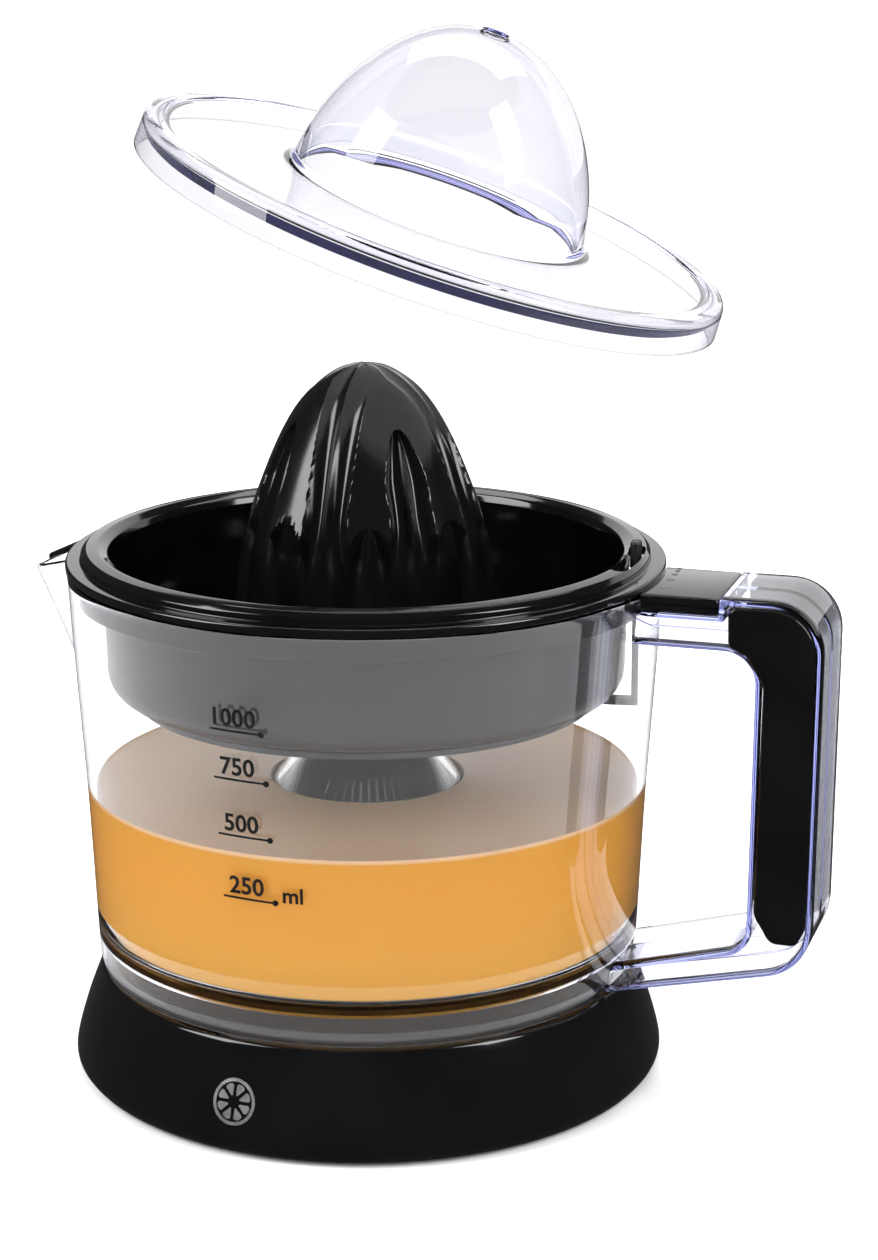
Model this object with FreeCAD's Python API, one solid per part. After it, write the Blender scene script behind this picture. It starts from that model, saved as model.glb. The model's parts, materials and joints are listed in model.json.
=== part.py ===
# Citrus press juicer: motor base, clear measuring jug with handle and spout, strainer bowl with
# pulp adjuster, ribbed cone and clear dust lid. Millimetres, +Z up, origin at the centre of the
# base on the surface that it stands on. The handle is towards +X and the spout towards -X.
import FreeCAD, Part
import math
import os

V = FreeCAD.Vector
AXIS = V(0, 0, 1)
ORIGIN = V(0, 0, 0)

# ---- overall sizes ----
body_r = 84.6                # outside of the jug's wall at its rim
jug_rim_z = 148.0

# ---- motor base ----
foot_height = 1.2            # how far the rubber feet stand proud of the base plate
foot_recess = 0.8
foot_r = 7.0
base_bottom_r = body_r - 0.9
base_bulge_r = body_r + 1.1
base_bulge_z = 5.5
base_mid_r = body_r - 2.0
base_mid_z = 17.5
foot_circle_r = base_bottom_r - 15.7
base_wall = 2.6
seam_z = 31.3                # top of the base skirt, where the jug stands
seam_r = body_r - 7.2
shoulder_r = 1.4             # rounding at the top of the skirt
plinth_r = seam_r - 4.0  # raised step that centres the jug
plinth_z = 39.6
tower_r = 11.6               # slim tower that carries the drive shaft up through the jug
tower_top_z = jug_rim_z - 30.0
mound_top_z = jug_rim_z - 51.2
mound_steps = [(65.0, 0.0), (50.2, 0.2745), (36.2, 0.5367), (25.2, 0.7483), (19.2, 0.8671), (14.6, 0.9266),
               (tower_r, 1.0)]    # radius, and share of the way up from the plinth to the tower

inlet_r = 5.6
inlet_bore_r = 3.6
inlet_z = 12.0
inlet_length = 8.0
inlet_flange = 1.8

base_plate_t = 2.4
plate_gap = 0.4
base_post_r = 4.5
base_post_circle_r = plinth_r - 4.9
vent_count = 16
vent_width = 2.4
vent_inner_r = 30.0
vent_outer_r = 46.0
screw_hole_r = 1.4
screw_shank_r = 1.35
screw_head_r = 2.9
screw_head_t = 2.0
screw_recess = 1.2
base_screw_length = 12.0

# ---- gearbox and motor ----
gear_plate_z = 34.0
gear_plate_t = 2.5
gear_plate_r = plinth_r - 3.9
gear_plate_gap = 0.3
gear_cover_z = 55.5
gear_cover_t = 2.5
gear_cover_r = 42.0
cover_post_r = 3.6
cover_posts = [(18.0, -31.0), (34.0, 12.0), (-28.0, -24.0), (3.0, 38.0)]
first_module = 0.8
pinion_teeth = 12
wheel_teeth = 60
second_module = 1.0
small_teeth = 14
output_teeth = 52
pressure_angle = 25.0
tooth_backlash = 0.16        # thinning of each tooth
motor_distance = 44.0        # motor axis from the drive axis, towards -X
wheel_z = 38.0
wheel_width = 5.6
small_width = 9.0
output_z = 45.4
output_width = 7.6
pinion_z = 37.2
motor_r = 25.0
motor_wall = 1.2
motor_bottom_z = 6.6
motor_top_z = 33.8
end_plate_t = 2.2
stator_inner_r = 16.0
stator_bottom_z = 12.5
stator_top_z = 26.0
winding_height = 2.6
motor_screw_recess = 1.2       # keeps the heads clear of the wheel above them
rotor_gap = 0.5
motor_shaft_r = 2.0
axle_r = 2.0
hub_r = 8.0
journal_r = 6.4
bush_r = 8.8

# ---- drive shaft, press travel and switch ----
shaft_r = 4.0                # round part; the hexagons have this as their corner radius
running_gap = 0.06           # radial gap of a turning fit
hexagon_gap = 0.12
press_travel = 2.0
shaft_bottom_z = 24.4
shaft_hex_low_z = 35.9
shaft_hex_high_z = 61.0
cup_r = 9.0
cup_bottom_z = 20.0
cup_top_z = 29.0
cup_flange_r = 12.5
cup_flange_t = 1.6
guide_wall = 1.8
spring_r = 6.6
spring_wire_r = 0.55
spring_turns = 4.5
spring_post_r = 4.6
spring_post_top_z = 14.0
switch_pivot_x = 30.0
switch_pivot_z = 17.6
lever_tip_x = 9.6
lever_tip_z = 19.2
lever_t = 0.7
lever_width = 5.0
plunger_x = 19.0
switch_width = 6.4
switch_top_z = 15.6

# ---- jug ----
jug_gap = 0.9                # between the base tower and the jug's raised centre
seat_gap = 0.35
jug_wall = 2.3
jug_skirt_r = seam_r - 0.1
jug_foot_rise = 7.85         # height of the jug's foot ring
jug_waist_rise = 49.35
jug_shoulder_drop = 38.0
jug_floor_t = 2.6
jug_tube_top_z = tower_top_z + 7.0
spout_tip_r = body_r + 19.2
spout_tip_z = jug_rim_z - 9.0
spout_base_z = jug_rim_z - 62.0
spout_half_angle = 18.0      # half of the arc of wall that the spout takes up at the rim
spout_low_angle = 4.0
spout_tip_round = 3.2
spout_root_slope = 0.075     # how much the wall behind the spout leans outwards

# ---- handle ----
handle_width = 32.6
handle_outer_x = body_r + 49.6
handle_inner_x = body_r + 31.4
handle_top_z = jug_rim_z + 1.0
handle_arm_bottom_z = jug_rim_z - 13.5
handle_outer_low_z = seam_z + 13.3  # corner of the outer outline at the bottom
handle_inner_low_z = seam_z + 18.9
handle_foot_x = jug_skirt_r  # where the lower arm reaches the jug
handle_foot_top_z = seam_z + 11.1
handle_foot_bottom_z = seam_z + 1.3
foot_shift = 8.0             # the lower arm's upper side is measured this far out
handle_outer_round = 15.0
handle_inner_round = 9.0
handle_rail = 1.6            # clear edge beside the grip panels
handle_web = 3.2
panel_gap = 0.2
panel_proud = 0.8
panel_start_x = handle_inner_x - 9.0
panel_end_z = handle_inner_low_z + 1.3
cover_end_x = handle_inner_x - 10.8
cover_bottom_z = jug_rim_z - 3.6
cover_top_z = jug_rim_z + 0.9  # ---- strainer bowl ----
ledge_r = body_r + 0.4
ledge_z = jug_rim_z + 2.7
ledge_t = 2.3
ledge_gap = 0.35
flange_r = ledge_r - 4.4
flange_z = ledge_z + 3.3
flange_t = 2.0
bowl_mouth_r = flange_r - 8.2
bowl_low_r = bowl_mouth_r - 1.0
bowl_wall = 2.3
collar_r = ledge_r - 3.6
collar_bottom_z = ledge_z - 10.0
bowl_floor_z = ledge_z - 35.7
bowl_floor_t = 2.4
bowl_corner_r = 6.0
boss_r = 18.5
boss_top_z = bowl_floor_z + 15.0
boss_gap = 0.9
strain_slot_count = 36
strain_slot_width = 2.0
strain_slot_in_r = 30.0
strain_slot_out_r = bowl_low_r - 9.4
tongue_width = 15.0
tongue_t = 1.8

# ---- pulp adjuster ----
pulp_gap = 0.5
pulp_ring_t = 2.0
pulp_ring_in_r = strain_slot_in_r - 6.0
pulp_ring_out_r = strain_slot_out_r + 4.0
pulp_arm_r = flange_r - 3.7
pulp_arm_t = 2.2
pulp_arm_width = 9.0
peg_r = 1.9
peg_gap = 0.5
peg_top_z = flange_z + 3.6
peg_angle = 7.0              # of the peg from the handle's plane, with the slots lined up
slot_low_angle = -8.5
slot_high_angle = 11.5
slot_width = 2 * (peg_r + peg_gap)  # ---- drive coupling and cone ----
coupling_r = 6.6
coupling_bottom_z = boss_top_z - 9.0
coupling_flange_r = 9.6
coupling_flange_t = 1.6
coupling_hex_r = 6.4
coupling_top_z = boss_top_z + 17.5
cone_base_z = boss_top_z + 3.5
cone_wall = 2.6
cone_hub_r = 10.4
cone_steps = [(38.2, 0.0), (37.2, 4.0), (35.9, 15.5), (33.6, 27.0), (27.2, 44.5), (21.2, 55.5), (15.4, 63.5),
              (8.6, 69.5)]        # radius, and height above the cone's base
cone_tip_z = cone_base_z + 72.1
cone_rib_depth = 3.2
rib_width = 3.4
rib_count = 16
long_rib_start_z = cone_tip_z - 0.6
medium_rib_start_z = cone_tip_z - 15.6
short_rib_start_z = cone_tip_z - 40.6
rib_phase = -2.6             # of the first long rib from -Y
notch_height = 5.0
notch_width = 7.0

# ---- dust lid ----
lid_r = ledge_r - 1.0
lid_wall = 2.2
lid_skirt = 10.0
lid_round = 2.2
lid_gap = 0.3                # above the ledge when seated
dome_r = 42.4
dome_height = 48.6
dome_sink = 10.0             # depth of the dome's widest section below the brim
dimple_r = 3.6
dimple_depth = 0.9
lid_tilt = 19.15             # the raised rest position, measured from the seated one
lid_tilt_azimuth = 3.8
lid_rise = 90.2
lid_shift = 21.2


# ---- sizes that follow from the ones above ----
plate_bottom_z = foot_height
plate_top_z = plate_bottom_z + base_plate_t
mound_points = [(r, plinth_z + share * (mound_top_z - plinth_z)) for r, share in mound_steps]
tower_bore_r = shaft_r + 3.0
jug_bottom_z = seam_z + seat_gap
jug_r_points = [(jug_skirt_r, jug_bottom_z), (jug_skirt_r + 1.0, jug_bottom_z + jug_foot_rise),
                (body_r - 4.3, jug_bottom_z + jug_waist_rise), (body_r - 2.4, jug_rim_z - jug_shoulder_drop),
                (body_r, jug_rim_z - 0.4)]
spout_root_r, spout_root_z = jug_r_points[2][0] - 1.1, jug_r_points[2][1]
cone_outline = [(r, cone_base_z + rise) for r, rise in cone_steps]
shaft_top_z = boss_top_z + 10.0
shaft_hex_top_start_z = coupling_bottom_z - 0.5
wheel_centre_distance = first_module * (pinion_teeth + wheel_teeth) / 2
output_centre_distance = second_module * (small_teeth + output_teeth) / 2
wheel_x = -(motor_distance ** 2 + output_centre_distance ** 2
            - wheel_centre_distance ** 2) / (2 * motor_distance)
wheel_y = math.sqrt(output_centre_distance ** 2 - wheel_x ** 2)
small_z = wheel_z + wheel_width
gear_plate_top_z = gear_plate_z + gear_plate_t
gear_cover_top_z = gear_cover_z + gear_cover_t
jug_tube_in_r = tower_r + jug_gap
jug_tube_out_r = jug_tube_in_r + jug_wall
jug_floor_z = plinth_z + jug_gap + jug_floor_t
bowl_under_z = bowl_floor_z - bowl_floor_t
lid_top_z = ledge_z + lid_gap + lid_skirt
hexagon_flat = shaft_r * math.cos(math.radians(30))


def cylinder(radius, bottom, top, x=0.0, y=0.0):
    return Part.makeCylinder(radius, top - bottom, V(x, y, bottom), AXIS)


def tube(outer, inner, bottom, top, x=0.0, y=0.0):
    return cylinder(outer, bottom, top, x, y).cut(cylinder(inner, bottom - 1, top + 1, x, y))


def prism(points, bottom, top):
    outline = [V(x, y, bottom) for x, y in points]
    return Part.Face(Part.makePolygon(outline + outline[:1])).extrude(V(0, 0, top - bottom))


def hexagon(corner_radius, bottom, top):
    corners = [(corner_radius * math.cos(math.radians(60 * i)), corner_radius * math.sin(math.radians(60 * i)))
               for i in range(6)]
    return prism(corners, bottom, top)


def block(x0, x1, y0, y1, z0, z1):
    return Part.makeBox(x1 - x0, y1 - y0, z1 - z0, V(x0, y0, z0))


def line(a, b):
    return Part.LineSegment(V(a[0], 0, a[1]), V(b[0], 0, b[1])).toShape()


def curve(points, start=None, end=None):
    spline = Part.BSplineCurve()
    places = [V(r, 0, z) for r, z in points]
    if start:
        spline.interpolate(Points=places, InitialTangent=V(start[0], 0, start[1]),
                           FinalTangent=V(end[0], 0, end[1]))
    else:
        spline.interpolate(Points=places)
    return spline.toShape()


def revolved(edges):
    """Solid of revolution from edges in the XZ plane, closed by straight lines where ends differ."""
    closed = []
    for i, edge in enumerate(edges):
        closed.append(edge)
        end = edge.lastVertex(True).Point
        start = edges[(i + 1) % len(edges)].firstVertex(True).Point
        if end.distanceToPoint(start) > 1e-6:
            closed.append(Part.LineSegment(end, start).toShape())
    face = Part.Face(Part.Wire(closed))
    return face.revolve(ORIGIN, AXIS, 360)


def turned(points):
    """Solid of revolution from a closed outline of straight lines."""
    outline = [V(r, 0, z) for r, z in points]
    return Part.Face(Part.makePolygon(outline + outline[:1])).revolve(ORIGIN, AXIS, 360)


def offset_points(points, distance):
    """Points moved square to the curve, to the side away from the axis and up."""
    moved = []
    for i, (r, z) in enumerate(points):
        before = points[max(i - 1, 0)]
        after = points[min(i + 1, len(points) - 1)]
        dr, dz = after[0] - before[0], after[1] - before[1]
        if i == len(points) - 1:
            dr, dz = 0.0, 1.0
        length = math.hypot(dr, dz)
        moved.append((r + distance * dz / length, z - distance * dr / length))
    return moved


def turned_about_axis(shape, degrees):
    copy = shape.copy()
    copy.rotate(ORIGIN, AXIS, degrees)
    return copy


def around(shape, count, first=0.0):
    return [turned_about_axis(shape, first + 360.0 * i / count) for i in range(count)]


def joined(shapes):
    result = shapes[0]
    if len(shapes) > 1:
        result = result.fuse(shapes[1:])
    return result.removeSplitter()


def cut_all(shape, tools):
    return shape.cut(tools) if tools else shape


def rounded_bar(radius_in, radius_out, width, bottom, top):
    """Radial bar along +X with round ends, used as a slot cutter."""
    half = width / 2
    bar = block(radius_in, radius_out, -half, half, bottom, top)
    return bar.fuse([cylinder(half, bottom, top, radius_in), cylinder(half, bottom, top, radius_out)])


def arc_band(radius, width, low, high, bottom, top):
    """Curved bar about the Z axis with round ends."""
    band = tube(radius + width / 2, radius - width / 2, bottom, top)
    wedge = Part.makeCylinder(radius + width, top - bottom, V(0, 0, bottom), AXIS, high - low)
    wedge.rotate(ORIGIN, AXIS, low)
    ends = []
    for a in (math.radians(low), math.radians(high)):
        ends.append(cylinder(width / 2, bottom, top, radius * math.cos(a), radius * math.sin(a)))
    return band.common(wedge).fuse(ends)


def involute_tooth(teeth, module):
    """Half outline of one tooth about +X: (radius, half angle) from root to tip."""
    pitch = module * teeth / 2
    base = pitch * math.cos(math.radians(pressure_angle))
    root = pitch - 1.05 * module
    tip = pitch + 0.8 * module
    spread = math.tan(math.radians(pressure_angle)) - math.radians(pressure_angle)
    half = math.pi / (2 * teeth) - tooth_backlash / (2 * pitch) + spread
    outline = []
    start = max(root, base)
    for i in range(4):
        r = start + (tip - start) * i / 3
        turn = math.sqrt(max((r / base) ** 2 - 1, 0))
        outline.append((r, half - (turn - math.atan(turn))))
    if root < start:
        outline.insert(0, (root, outline[0][1]))
    return outline


def gear(teeth, module, bottom, width, phase, x=0.0, y=0.0):
    """Spur gear; phase is the direction in degrees of one tooth's middle."""
    side = involute_tooth(teeth, module)
    points = []
    for i in range(teeth):
        middle = math.radians(phase) + 2 * math.pi * i / teeth
        for r, a in side:
            points.append((r * math.cos(middle - a), r * math.sin(middle - a)))
        for r, a in reversed(side):
            points.append((r * math.cos(middle + a), r * math.sin(middle + a)))
    solid = prism(points, bottom, bottom + width)
    solid.translate(V(x, y, 0))
    return solid


def base_skirt_edge():
    return curve([(base_bottom_r, foot_height), (base_bulge_r, base_bulge_z), (base_mid_r, base_mid_z),
                  (seam_r + shoulder_r * 0.3, seam_z - shoulder_r)])


def mound_edge(distance, reverse=False):
    points = offset_points(mound_points, distance)
    slope = (points[1][0] - points[0][0], points[1][1] - points[0][1])
    if reverse:
        return curve(points[::-1], (0, -1), (-slope[0], -slope[1]))
    return curve(points, slope, (0, 1))


def base_solid():
    """Outside of the base, without its hollow."""
    shoulder = (seam_r - shoulder_r, seam_z)
    return revolved([
        line((0, foot_height), (base_bottom_r, foot_height)),
        base_skirt_edge(),
        line(shoulder, (plinth_r, seam_z)),
        line((plinth_r, plinth_z - 1), (plinth_r - 1, plinth_z)),
        mound_edge(0),
        line((tower_r, tower_top_z - 1), (tower_r - 1, tower_top_z)),
        line((0, tower_top_z), (0, foot_height)),
    ])


def base_hollow():
    w = base_wall
    inner = offset_points(mound_points, -w)[:5]
    neck = inner[-1]
    return turned([(0, foot_height - 1), (base_bottom_r - w, foot_height - 1), (base_bulge_r - w, base_bulge_z),
                   (base_mid_r - w, base_mid_z), (seam_r - w, seam_z - w - 2), (seam_r - w - 2.4, seam_z - w),
                   (plinth_r - w, seam_z - w), (plinth_r - w, plinth_z - w)]
                  + inner + [(9.0, neck[1] + 3.0), (9.0, tower_top_z - 14.0), (0, tower_top_z - 14.0)])


def base_post_places():
    return [(base_post_circle_r * math.cos(math.radians(a)), base_post_circle_r * math.sin(math.radians(a)))
            for a in (45, 135, 225, 315)]


def gear_plate_screw_places():
    radius = gear_plate_r - 3.6
    return [(radius * math.cos(math.radians(a)), radius * math.sin(math.radians(a))) for a in (10, 100, 250)]


def make_base_housing():
    solid = base_solid()
    shell = solid.cut(base_hollow())
    added = [cylinder(base_post_r, plate_top_z + 0.2, seam_z, x, y) for x, y in base_post_places()]
    added += [cylinder(3.6, gear_plate_top_z, plinth_z - 1, x, y) for x, y in gear_plate_screw_places()]
    shell = shell.fuse([a.common(solid) for a in added])
    holes = [cylinder(screw_hole_r, plate_top_z - 1, plate_top_z + 13, x, y) for x, y in base_post_places()]
    holes += [cylinder(screw_hole_r, gear_plate_top_z - 1, plinth_z - 0.9, x, y)
              for x, y in gear_plate_screw_places()]
    holes.append(cylinder(tower_bore_r, tower_top_z - 15, tower_top_z + 1))
    inlet = Part.makeCylinder(inlet_r, 30, V(0, base_mid_r - 20, inlet_z), V(0, 1, 0))
    holes.append(inlet)
    return shell.cut(holes).removeSplitter()


def make_cord_inlet_bush():
    inner_y = base_mid_r - base_wall - 3.4
    body = Part.makeCylinder(inlet_r - 0.1, inlet_length, V(0, inner_y, inlet_z), V(0, 1, 0))
    flange = Part.makeCylinder(inlet_r + inlet_flange, 1.4, V(0, inner_y, inlet_z), V(0, 1, 0))
    bore = Part.makeCylinder(inlet_bore_r, inlet_length + 2, V(0, inner_y - 1, inlet_z), V(0, 1, 0))
    return body.fuse(flange).cut(bore).removeSplitter()


def make_base_plate():
    radius = base_bottom_r - base_wall - plate_gap
    plate = cylinder(radius, plate_bottom_z, plate_top_z)
    plate = joined([plate, cylinder(spring_post_r, plate_top_z - 1, spring_post_top_z)])
    cuts = [cylinder(foot_r + 0.1, plate_bottom_z - 1, plate_bottom_z + foot_recess, x, y)
            for x, y in foot_places()]
    for x, y in base_post_places():
        cuts.append(cylinder(screw_hole_r + 0.3, plate_bottom_z - 1, plate_top_z + 1, x, y))
        cuts.append(cylinder(screw_head_r + 0.3, plate_bottom_z - 1, plate_bottom_z + screw_recess, x, y))
    vent = rounded_bar(vent_inner_r, vent_outer_r, vent_width, plate_bottom_z - 1, plate_top_z + 1)
    vents = [v for i, v in enumerate(around(vent, vent_count, 11.25)) if i % 4 in (1, 2)]
    return plate.cut(cuts + vents).removeSplitter()


def foot_places():
    return [(foot_circle_r * math.cos(math.radians(a)), foot_circle_r * math.sin(math.radians(a)))
            for a in (0, 90, 180, 270)]


def make_foot_pads():
    pads = []
    for x, y in foot_places():
        pad = cylinder(foot_r, 0, foot_height + foot_recess, x, y)
        rim = [e for e in pad.Edges if abs(e.BoundBox.ZMax) < 1e-6 and len(e.Vertexes) == 1]
        pads.append(pad.makeChamfer(0.3, rim))
    return Part.makeCompound(pads)


def screw(x, y, head_z, length, up=True):
    """Self-tapping screw: head at head_z, shank going up or down."""
    if up:
        head = cylinder(screw_head_r, head_z, head_z + screw_head_t, x, y)
        shank = cylinder(screw_shank_r, head_z + screw_head_t, head_z + screw_head_t + length, x, y)
        drive = cylinder(1.1, head_z - 0.1, head_z + 0.9, x, y)
    else:
        head = cylinder(screw_head_r, head_z - screw_head_t, head_z, x, y)
        shank = cylinder(screw_shank_r, head_z - screw_head_t - length, head_z - screw_head_t, x, y)
        drive = cylinder(1.1, head_z - 0.9, head_z + 0.1, x, y)
    return head.fuse(shank).cut(drive).removeSplitter()


def make_base_screws():
    head_z = plate_bottom_z + screw_recess - screw_head_t
    return Part.makeCompound([screw(x, y, head_z, base_screw_length) for x, y in base_post_places()])


def motor_screw_places():
    return [(-motor_distance + 14.0 * math.cos(math.radians(a)), 14.0 * math.sin(math.radians(a)))
            for a in (60, 180, 300)]


def make_gear_plate():
    plate = cylinder(gear_plate_r, gear_plate_z, gear_plate_top_z)
    guide = cylinder(cup_r + guide_wall + running_gap, cup_bottom_z + cup_flange_t + 0.3, gear_plate_z)
    plate = joined([plate, guide])
    cuts = [cylinder(cup_r + running_gap, cup_bottom_z, gear_plate_z)]
    cuts.append(cylinder(bush_r, gear_plate_z - 1, gear_plate_top_z + 1))
    cuts.append(cylinder(7.0, gear_plate_z - 1, gear_plate_top_z + 1, -motor_distance, 0))
    cuts.append(cylinder(axle_r, gear_plate_z - 1, gear_plate_top_z + 1, wheel_x, wheel_y))
    cuts += [cylinder(screw_hole_r, gear_plate_z - 1, gear_plate_top_z + 1, x, y) for x, y in cover_posts]
    cuts += [cylinder(screw_shank_r + 0.2, gear_plate_z - 1, gear_plate_top_z + 1, x, y)
             for x, y in motor_screw_places() + gear_plate_screw_places()]
    cuts += [cylinder(screw_head_r + 0.3, gear_plate_top_z - motor_screw_recess, gear_plate_top_z + 1, x, y)
             for x, y in motor_screw_places()]
    cuts += [cylinder(base_post_r + 0.6, gear_plate_z - 1, gear_plate_top_z + 1, x, y)
             for x, y in base_post_places()]
    return plate.cut(cuts).removeSplitter()


def make_plate_screws():
    return Part.makeCompound([screw(x, y, gear_plate_z - screw_head_t, plinth_z - 1.2 - gear_plate_z)
                              for x, y in gear_plate_screw_places()])


def make_gear_cover():
    cover = cylinder(gear_cover_r, gear_cover_z, gear_cover_top_z)
    posts = [cylinder(cover_post_r, gear_plate_top_z, gear_cover_z, x, y) for x, y in cover_posts]
    cover = joined([cover] + posts)
    cuts = [cylinder(bush_r, gear_cover_z - 1, gear_cover_top_z + 1)]
    cuts.append(cylinder(axle_r, gear_cover_z - 1, gear_cover_top_z + 1, wheel_x, wheel_y))
    cuts += [cylinder(screw_hole_r, gear_plate_top_z - 1, gear_plate_top_z + 9, x, y) for x, y in cover_posts]
    return cover.cut(cuts).removeSplitter()


def make_cover_screws():
    head_z = gear_plate_z - screw_head_t
    return Part.makeCompound([screw(x, y, head_z, gear_plate_t + 8.0) for x, y in cover_posts])


def make_gear_axle():
    return cylinder(axle_r, gear_plate_z, gear_cover_top_z, wheel_x, wheel_y)


def make_bush(bottom, top):
    return tube(bush_r, journal_r + running_gap, bottom, top)


def make_upper_bush():
    return tube(tower_bore_r, shaft_r + running_gap, tower_top_z - 14, tower_top_z - 3.2)


def make_shaft_seal():
    body = tube(tower_bore_r, shaft_r + 0.9, tower_top_z - 3.2, tower_top_z)
    lip = tube(shaft_r + 1.0, shaft_r + 0.08, tower_top_z - 2.6, tower_top_z - 1.8)
    return body.fuse(lip).removeSplitter()


def make_motor_can():
    can = cylinder(motor_r, motor_bottom_z, motor_top_z - end_plate_t, -motor_distance, 0)
    hollow = cylinder(motor_r - motor_wall, motor_bottom_z + motor_wall, motor_top_z, -motor_distance, 0)
    bearing = cylinder(5.0, motor_bottom_z, motor_bottom_z + 4.0, -motor_distance, 0)
    bore = cylinder(motor_shaft_r + running_gap, motor_bottom_z + 0.8, motor_bottom_z + 5, -motor_distance, 0)
    return can.cut(hollow).fuse(bearing).cut(bore).removeSplitter()


def make_motor_end_plate():
    plate = cylinder(motor_r, motor_top_z - end_plate_t, motor_top_z, -motor_distance, 0)
    bearing = cylinder(6.0, motor_top_z - end_plate_t, gear_plate_top_z - 0.5, -motor_distance, 0)
    cuts = [cylinder(motor_shaft_r + running_gap, motor_bottom_z, gear_plate_top_z + 1, -motor_distance, 0)]
    cuts += [cylinder(screw_hole_r, motor_top_z - end_plate_t - 1, motor_top_z + 1, x, y)
             for x, y in motor_screw_places()]
    return joined([plate, bearing]).cut(cuts)


def make_motor_stator():
    radius = motor_r - motor_wall
    stack = tube(radius, stator_inner_r, stator_bottom_z, stator_top_z, -motor_distance, 0)
    slots = []
    for i in range(6):
        slot = cylinder(2.4, stator_bottom_z - 1, stator_top_z + 1, stator_inner_r + 3.6, 0)
        slot = turned_about_axis(slot, 60.0 * i)
        slot.translate(V(-motor_distance, 0, 0))
        slots.append(slot)
    return stack.cut(slots)


def make_motor_windings():
    rings = []
    for bottom in (stator_bottom_z - winding_height, stator_top_z):
        ring = tube(stator_inner_r + 6.2, stator_inner_r + 1.0, bottom, bottom + winding_height, -motor_distance, 0)
        rings.append(ring)
    return Part.makeCompound(rings)


def make_motor_screws():
    head_top = gear_plate_top_z - motor_screw_recess + screw_head_t
    return Part.makeCompound([screw(x, y, head_top, gear_plate_t - motor_screw_recess + 2.0, False)
                              for x, y in motor_screw_places()])


def make_rotor():
    core = cylinder(stator_inner_r - rotor_gap, stator_bottom_z + 0.5, stator_top_z - 0.5, -motor_distance, 0)
    shaft = cylinder(motor_shaft_r, motor_bottom_z + 1.0, pinion_z + wheel_width + 1.8, -motor_distance, 0)
    return joined([core, shaft])


def make_pinion():
    toward_wheel = math.degrees(math.atan2(wheel_y, wheel_x + motor_distance))
    body = gear(pinion_teeth, first_module, pinion_z, wheel_width + 1.6, toward_wheel, -motor_distance, 0)
    return body.cut(cylinder(motor_shaft_r, pinion_z - 1, pinion_z + wheel_width + 4, -motor_distance, 0))


def make_compound_gear():
    toward_pinion = math.degrees(math.atan2(-wheel_y, -motor_distance - wheel_x))
    toward_output = math.degrees(math.atan2(-wheel_y, -wheel_x))
    wheel_phase = toward_pinion + 180.0 / wheel_teeth
    wheel = gear(wheel_teeth, first_module, wheel_z, wheel_width, wheel_phase, wheel_x, wheel_y)
    small = gear(small_teeth, second_module, small_z, small_width, toward_output, wheel_x, wheel_y)
    rim = tube(19.0, 8.5, small_z - 2.0, small_z + 0.1, wheel_x, wheel_y)
    hub = cylinder(4.4, wheel_z - 1.0, small_z + small_width + 0.6, wheel_x, wheel_y)
    bore = cylinder(axle_r + running_gap, wheel_z - 3, gear_cover_top_z, wheel_x, wheel_y)
    return wheel.cut(rim).fuse([small, hub]).cut(bore).removeSplitter()


def make_output_gear():
    toward_small = math.degrees(math.atan2(wheel_y, wheel_x))
    teeth = gear(output_teeth, second_module, output_z, output_width, toward_small + 180.0 / output_teeth)
    groove = tube(21.5, 10.5, output_z - 1, output_z + 2.4)
    hub = cylinder(hub_r, gear_plate_top_z + 0.4, gear_cover_z - 0.4)
    low = cylinder(journal_r, gear_plate_z + 0.2, gear_plate_top_z + 0.5)
    high = cylinder(journal_r, gear_cover_z - 0.5, gear_cover_top_z + 0.2)
    body = teeth.cut(groove).fuse([hub, low, high])
    bore = hexagon(shaft_r + hexagon_gap, gear_plate_z - 1, gear_cover_top_z + 2)
    return body.cut(bore).removeSplitter()


def make_drive_shaft():
    low = cylinder(shaft_r, shaft_bottom_z, shaft_hex_low_z - press_travel)
    grip = hexagon(shaft_r, shaft_hex_low_z - press_travel, shaft_hex_high_z)
    middle = cylinder(shaft_r, shaft_hex_high_z, shaft_hex_top_start_z)
    top = hexagon(shaft_r, shaft_hex_top_start_z, shaft_top_z)
    return joined([low, grip, middle, top])


def make_thrust_cup():
    cup = cylinder(cup_r, cup_bottom_z, cup_top_z)
    flange = cylinder(cup_flange_r, cup_bottom_z, cup_bottom_z + cup_flange_t)
    well = cylinder(shaft_r + running_gap, shaft_bottom_z - 0.2, cup_top_z + 1)
    return joined([cup, flange]).cut(well)


def make_return_spring():
    bottom = plate_top_z + spring_wire_r + 0.1
    height = cup_bottom_z - 0.15 - spring_wire_r - bottom
    path = Part.makeHelix(height / spring_turns, height, spring_r)
    path.translate(V(0, 0, bottom))
    section = Part.Wire(Part.makeCircle(spring_wire_r, V(spring_r, 0, bottom), V(0, 1, height / spring_turns / 42)))
    coil = Part.Wire(path).makePipeShell([section], True, True)
    return coil


def make_switch_body():
    half = switch_width / 2
    body = block(plunger_x - 5, switch_pivot_x + 1.5, -half, half, plate_top_z + 0.1, switch_top_z)
    ears = block(switch_pivot_x - 1.5, switch_pivot_x + 1.5, -half, half, switch_top_z - 1, switch_pivot_z + 1.4)
    gap = block(switch_pivot_x - 2, switch_pivot_x + 2, -lever_width / 2 - 0.2, lever_width / 2 + 0.2,
                switch_top_z + 0.2, switch_pivot_z + 3)
    hole = Part.makeCylinder(0.8, switch_width + 2, V(switch_pivot_x, -half - 1, switch_pivot_z), V(0, 1, 0))
    well = cylinder(1.3 + running_gap, switch_top_z - 4, switch_top_z + 1, plunger_x, 0)
    pins = [block(plunger_x - 3 + i * 6, plunger_x - 2.4 + i * 6, half, half + 4, 7, 10) for i in range(2)]
    return joined([body, ears]).cut([gap, hole, well]).fuse(pins).removeSplitter()


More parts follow.
